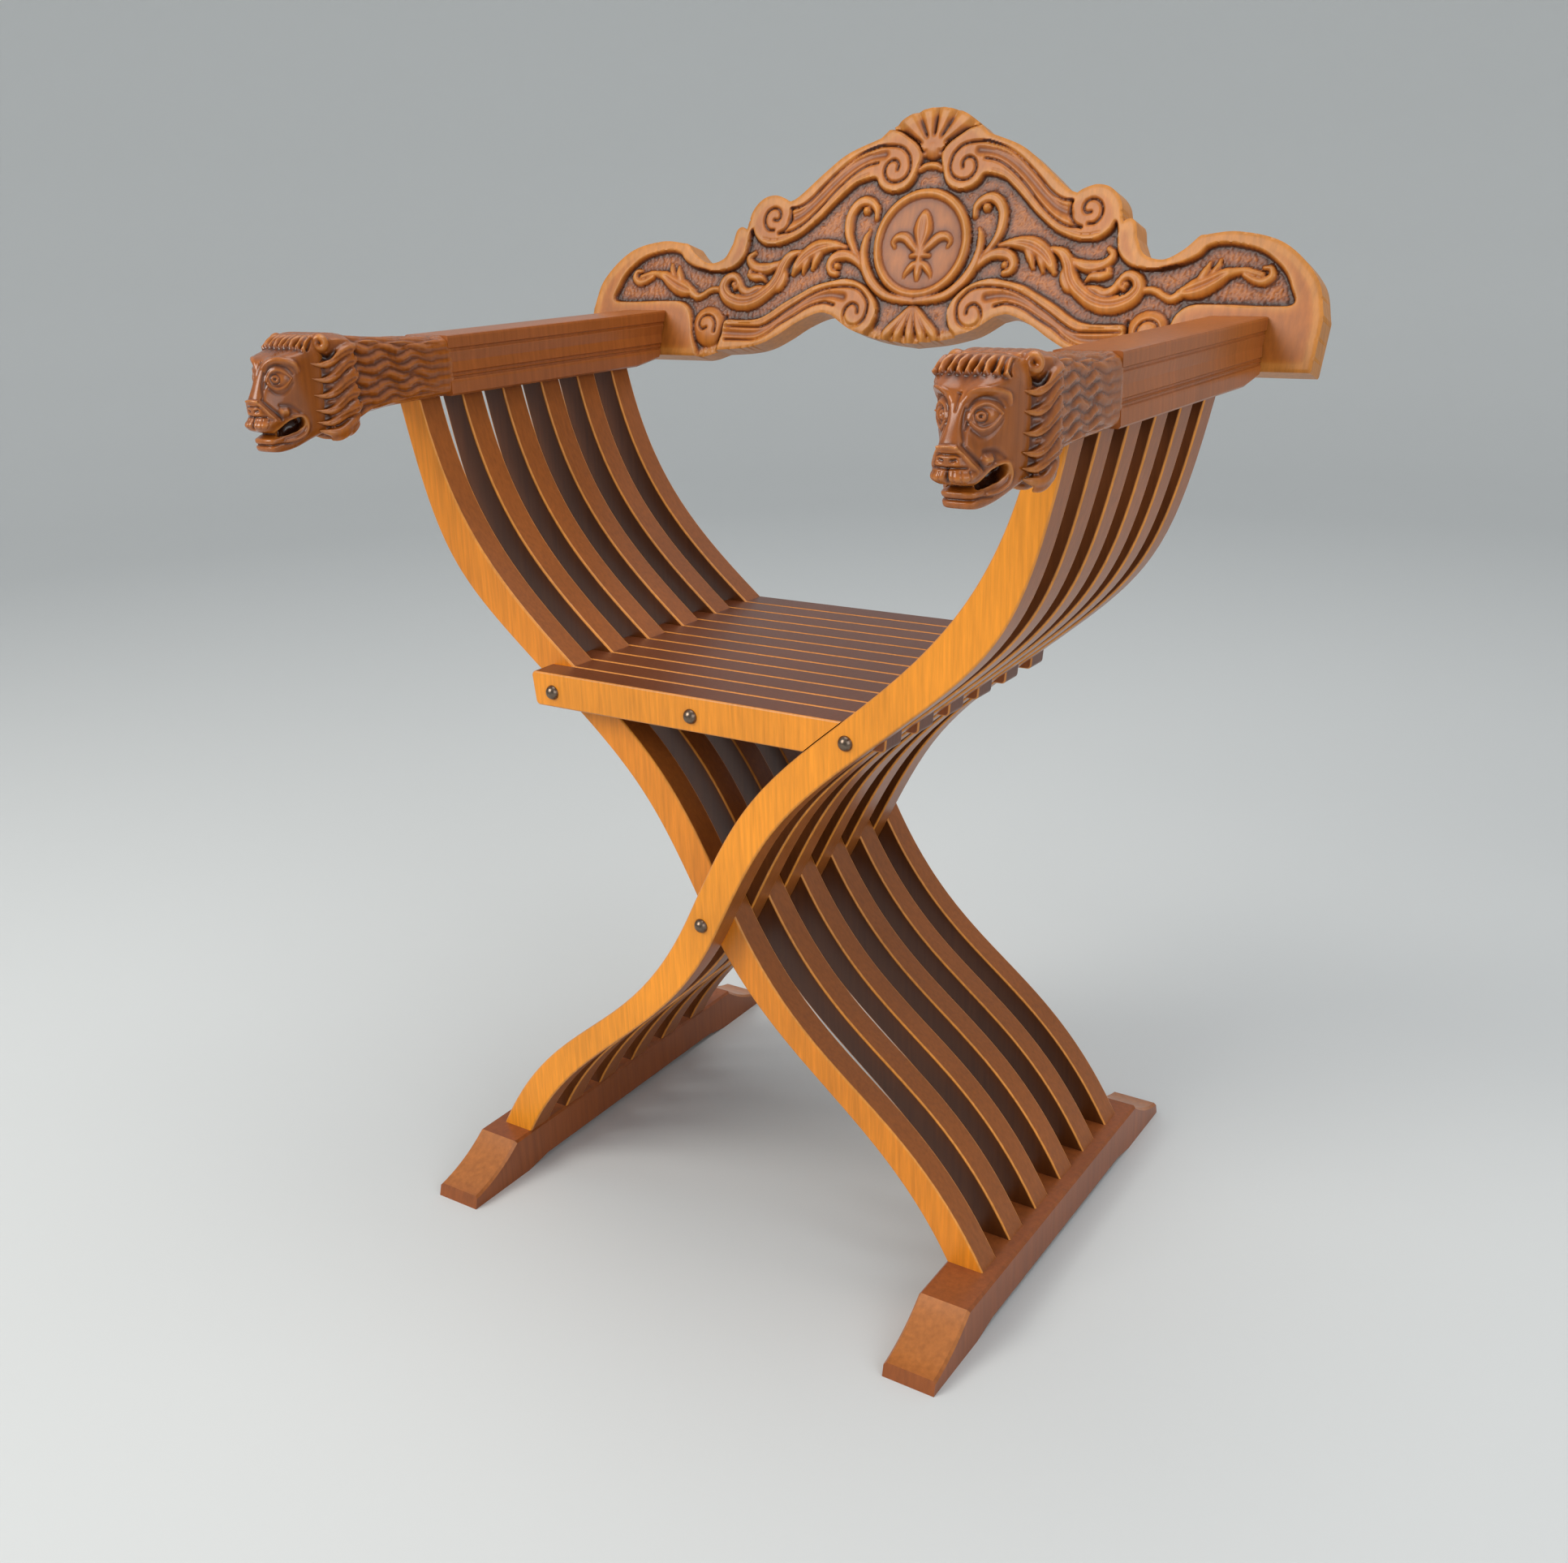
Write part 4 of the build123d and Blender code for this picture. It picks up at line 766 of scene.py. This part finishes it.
# roundel and its lily
roundel_height, roundel_radius, rim_radius, rim_half, dish_radius = 97, 46, 41.3, 4.3, 38
radius = np.hypot(places[:, 0], places[:, 1] - roundel_height)
rim_roll = 4.9 * np.sqrt(np.clip(1 - ((radius - rim_radius) / rim_half) ** 2, 0, 1))
dish = np.where(radius < dish_radius, 1.1 + 1.3 * (radius / dish_radius) ** 4, 0)
level = np.where(radius < roundel_radius, ground + np.maximum(rim_roll, dish), level)
for leaf in (
    ((0.5, 125, 0.8), (1.5, 117, 4.6), (1.5, 108, 6.2), (0.5, 99, 4.5), (0, 91, 2.8), (0, 84, 2.5)),
    ((1, 89, 2.2), (8, 96, 3.2), (15, 102, 3.6), (22, 103, 3), (27, 99, 2), (25, 94.5, 1.4)),
    ((0, 87.5, 2.4), (4, 88, 2.4), (8, 87.5, 1.8)),
    ((0, 84, 3), (0, 76, 3.4), (0, 68, 1.8)),
    ((1, 82, 2.2), (6, 79, 2.8), (11, 73.5, 2), (13, 69, 1)),
):
    stroke(leaf, 4.0, 0.9, 1.25)
# foliage between the bands
for leaf in (
    ((0, 50, 3), (25, 54, 3.5), (40, 63, 4), (50, 76, 4), (54.5, 90, 3.5), (54, 102, 2.5), (51, 109, 0.8)),
    ((46, 119, 2), (46.5, 126, 3), (52, 131.5, 3.5), (60, 133, 4), (67, 129, 4), (71.5, 121, 4), (72, 112, 4),
     (70, 103, 3.5), (65, 94, 3), (58, 86, 2.5), (52, 78, 1.5)),
    ((48, 68, 1.5), (53, 77, 2.5), (60, 84, 3.5), (68, 88, 4), (76, 88.5, 4.5), (83, 86, 4), (86.5, 80, 3.5),
     (84, 74.5, 3), (79, 73, 2.5)),
    ((72, 95, 2), (82, 96.5, 3.5), (92, 96.5, 5), (102, 94, 6.5), (112, 88, 6), (119, 80, 4.5), (123, 73, 2)),
    ((96, 93, 3), (101, 85, 3.4), (104, 77, 1.6)),
    ((106, 90, 3), (111, 81, 3.2), (113, 74, 1.4)),
    ((118, 92, 2), (128, 88, 4), (134, 80, 5), (137, 71, 5.5), (142, 63, 5.5), (149, 57, 5.5), (158, 51.5, 6),
     (169, 48.5, 6.5), (180, 49.5, 6.5), (190, 54, 6), (195, 61, 5), (192.5, 68, 4.2), (186, 71, 3.6), (180.5, 68, 3),
     (179.5, 63, 2.5), (183, 60.5, 2)),
    ((134, 84, 2), (142, 80, 3.5), (152, 77.5, 4.5), (162, 78.5, 4), (168, 82, 3.5), (170.5, 87, 3), (166, 91, 2)),
    ((150, 66, 1), (155, 70, 3), (163, 70.5, 3.5), (169, 72, 2.5)),
    ((152, 62, 1.5), (160, 60, 3), (168, 57, 3.5), (175, 60, 3.5), (178, 66, 2.5)),
    ((132, 78, 2), (131, 70, 3), (135, 62, 3), (140, 58, 1.5)),
    ((196, 58, 2.5), (203, 60, 2.5), (210, 58.5, 2.5), (216, 55, 2.5), (222, 53, 3), (228, 55.5, 3.5)),
    ((231, 58, 4), (238, 60, 6.5), (246, 63, 7), (254, 67, 6), (261, 71, 4.5), (268, 73, 3), (276, 74, 2.5),
     (284, 72, 2.5), (289, 70.5, 2.5)),
    ((276, 71, 2.2), (284, 67, 2.6), (291, 66, 3), (296.5, 70, 2.8), (295, 75.5, 2.2), (290, 76, 1.5)),
    ((242, 66, 3), (246, 73, 3.2), (248, 80, 1)),
    ((250, 70, 2.6), (255, 77, 2.4), (256, 82, 1)),
    ((-13, 168, 2.2), (0, 171, 2.6), (13, 168, 2.2)),
    ((0, 161, 2.6), (6, 160, 2.6), (11, 157, 2)),
):
    stroke(leaf, 4.9, 1.2, 1.2)
for x, y, size in ((56, 125.5, 4), (79, 79.5, 3.6), (184, 64, 3), (168, 75, 3), (227.5, 57, 3.5), (238, 60, 3)):
    stroke(((x, y, size), (x + 0.4, y, size)), 4.9)
# the shell at the crown, fluted from its cushion, and the leaf that hangs under the roundel
shell_foot, flute_pitch = 172, 30
angle = np.degrees(np.arctan2(places[:, 0], places[:, 1] - shell_foot))
reach = np.hypot(places[:, 0], places[:, 1] - shell_foot)
flute = 1 - np.abs((angle / flute_pitch + 0.5) % 1 - 0.5) * 2
shell = -0.6 - 3.1 * np.clip((reach - 11) / 4, 0, 1) * np.clip((flute - 0.35) / 0.65, 0, 1) ** 1.5
crown = (places[:, 1] > 171) & (level <= ground) & (angle < 86)
level = np.where(crown, np.maximum(level, shell), level)
stroke(((0, 176, 11), (0.5, 176, 11)), 5.1)
for x, y in ((0, 15), (11, 16.5), (22, 18)):
    stroke(((x * 0.15, 45, 2), (x * 0.6, 33, 4.2), (x, 24, 4.6), (x * 1.15, y, 2.4)), 4.8, 1.4)
bare = level <= ground + 0.01
level[bare] += stipple[bare]

# front edge eased, the plank sawn out along its outline, its sides and back
away, at = nearest(places, rail_edge)
easing_radius = 1.4
level -= easing_radius - np.sqrt(easing_radius ** 2 - np.clip(easing_radius - away, 0, easing_radius) ** 2)
left_over = ~inside(places, rail_bound) | (away < 0.4)
on_edge = np.stack([np.interp(at, np.arange(len(rail_edge)), rail_edge[:, k]) for k in (0, 1)], 1)
on_edge[:, 0] *= hands
for v, height in zip(plank.verts, level):
    v.co.z = height
corners = list(plank.verts)
edge_place = {v: place for v, place in zip(corners, on_edge)}
bmesh.ops.delete(plank, geom=[v for v, waste in zip(corners, left_over) if waste], context="VERTS")
while True:
    ragged = [v for v in plank.verts if sum(e.is_boundary for e in v.link_edges) > 2 or len(v.link_faces) == 0]
    if not ragged:
        break
    bmesh.ops.delete(plank, geom=ragged, context="VERTS")
sawn = [e for e in plank.edges if e.is_boundary]
for v in {v for e in sawn for v in e.verts}:
    v.co.x, v.co.y = edge_place[v]
    v.co.z -= 0.5
walls = bmesh.ops.extrude_edge_only(plank, edges=sawn)["geom"]
for v in (g for g in walls if isinstance(g, bmesh.types.BMVert)):
    v.co.z = -rail_thickness
back_face = bmesh.ops.holes_fill(plank, edges=[e for e in plank.edges if e.is_boundary], sides=0)["faces"]
bmesh.ops.triangulate(plank, faces=back_face)
bmesh.ops.recalc_face_normals(plank, faces=plank.faces)
# the slot for the left arm's dovetail, wider at its root than at its mouth
slot_mouth, slot_root, slot_top, slot_depth = 9.2, 12.2, 32.2, 10.2
slot = bmesh.new()
bmesh.ops.create_cube(slot, size=1)
for v in slot.verts:
    half = slot_mouth if v.co.z > 0 else slot_root
    v.co = ((half if v.co.x > 0 else -half) - arm_middle / millimetre, slot_top if v.co.y > 0 else -3,
            0.3 if v.co.z > 0 else -slot_depth)
bmesh.ops.recalc_face_normals(slot, faces=slot.faces)
cutter = bpy.data.objects.new("slot", bpy.data.meshes.new("slot"))
slot.to_mesh(cutter.data)
slot.free()
bpy.context.scene.collection.objects.link(cutter)
rail_mesh = finished(plank, "plank", BOOLEAN={"operation": "DIFFERENCE", "solver": "EXACT", "object": cutter})
bpy.data.objects.remove(cutter)
# the rail's relief, from which its wood is painted dark in the hollows as shade and light on the ridges as a
# highlight
mark_relief_for_shading(rail_mesh, 1.6, 24)
rail_bearing = Matrix(((1, 0, 0), (0, math.sin(rail_lean), math.cos(rail_lean)), rail_normal)).transposed().to_4x4()
rail_mesh.transform(Matrix.Translation(rail_front) @ rail_bearing @ Matrix.Scale(millimetre, 4))
crest_rail = bpy.data.objects.new("crest_rail_carved", rail_mesh)
rail_mesh.name = "crest_rail_carved"
# the rail's wood: its darkest colour is painted shade in the hollows, its lightest a painted highlight on the ridges
rail_wood = varnished_wood("rail_wood", (
    (0.06, (0.05, 0.012, 0.003)), (0.34, (0.21, 0.055, 0.01)), (0.5, (0.38, 0.112, 0.014)),
    (0.62, (0.44, 0.138, 0.017)), (0.95, (0.52, 0.2, 0.035))),
    grain_turn=math.radians(90), grain_scale=240, roughness=0.4, coat=0.08, carved=True)
rail_mesh.materials.clear()
rail_mesh.materials.append(rail_wood)
for face in rail_mesh.polygons:
    face.use_smooth = True
rail_mesh.set_sharp_from_angle(angle=math.radians(62))
bpy.context.scene.collection.objects.link(crest_rail)
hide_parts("crest_rail")
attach(crest_rail, "back")
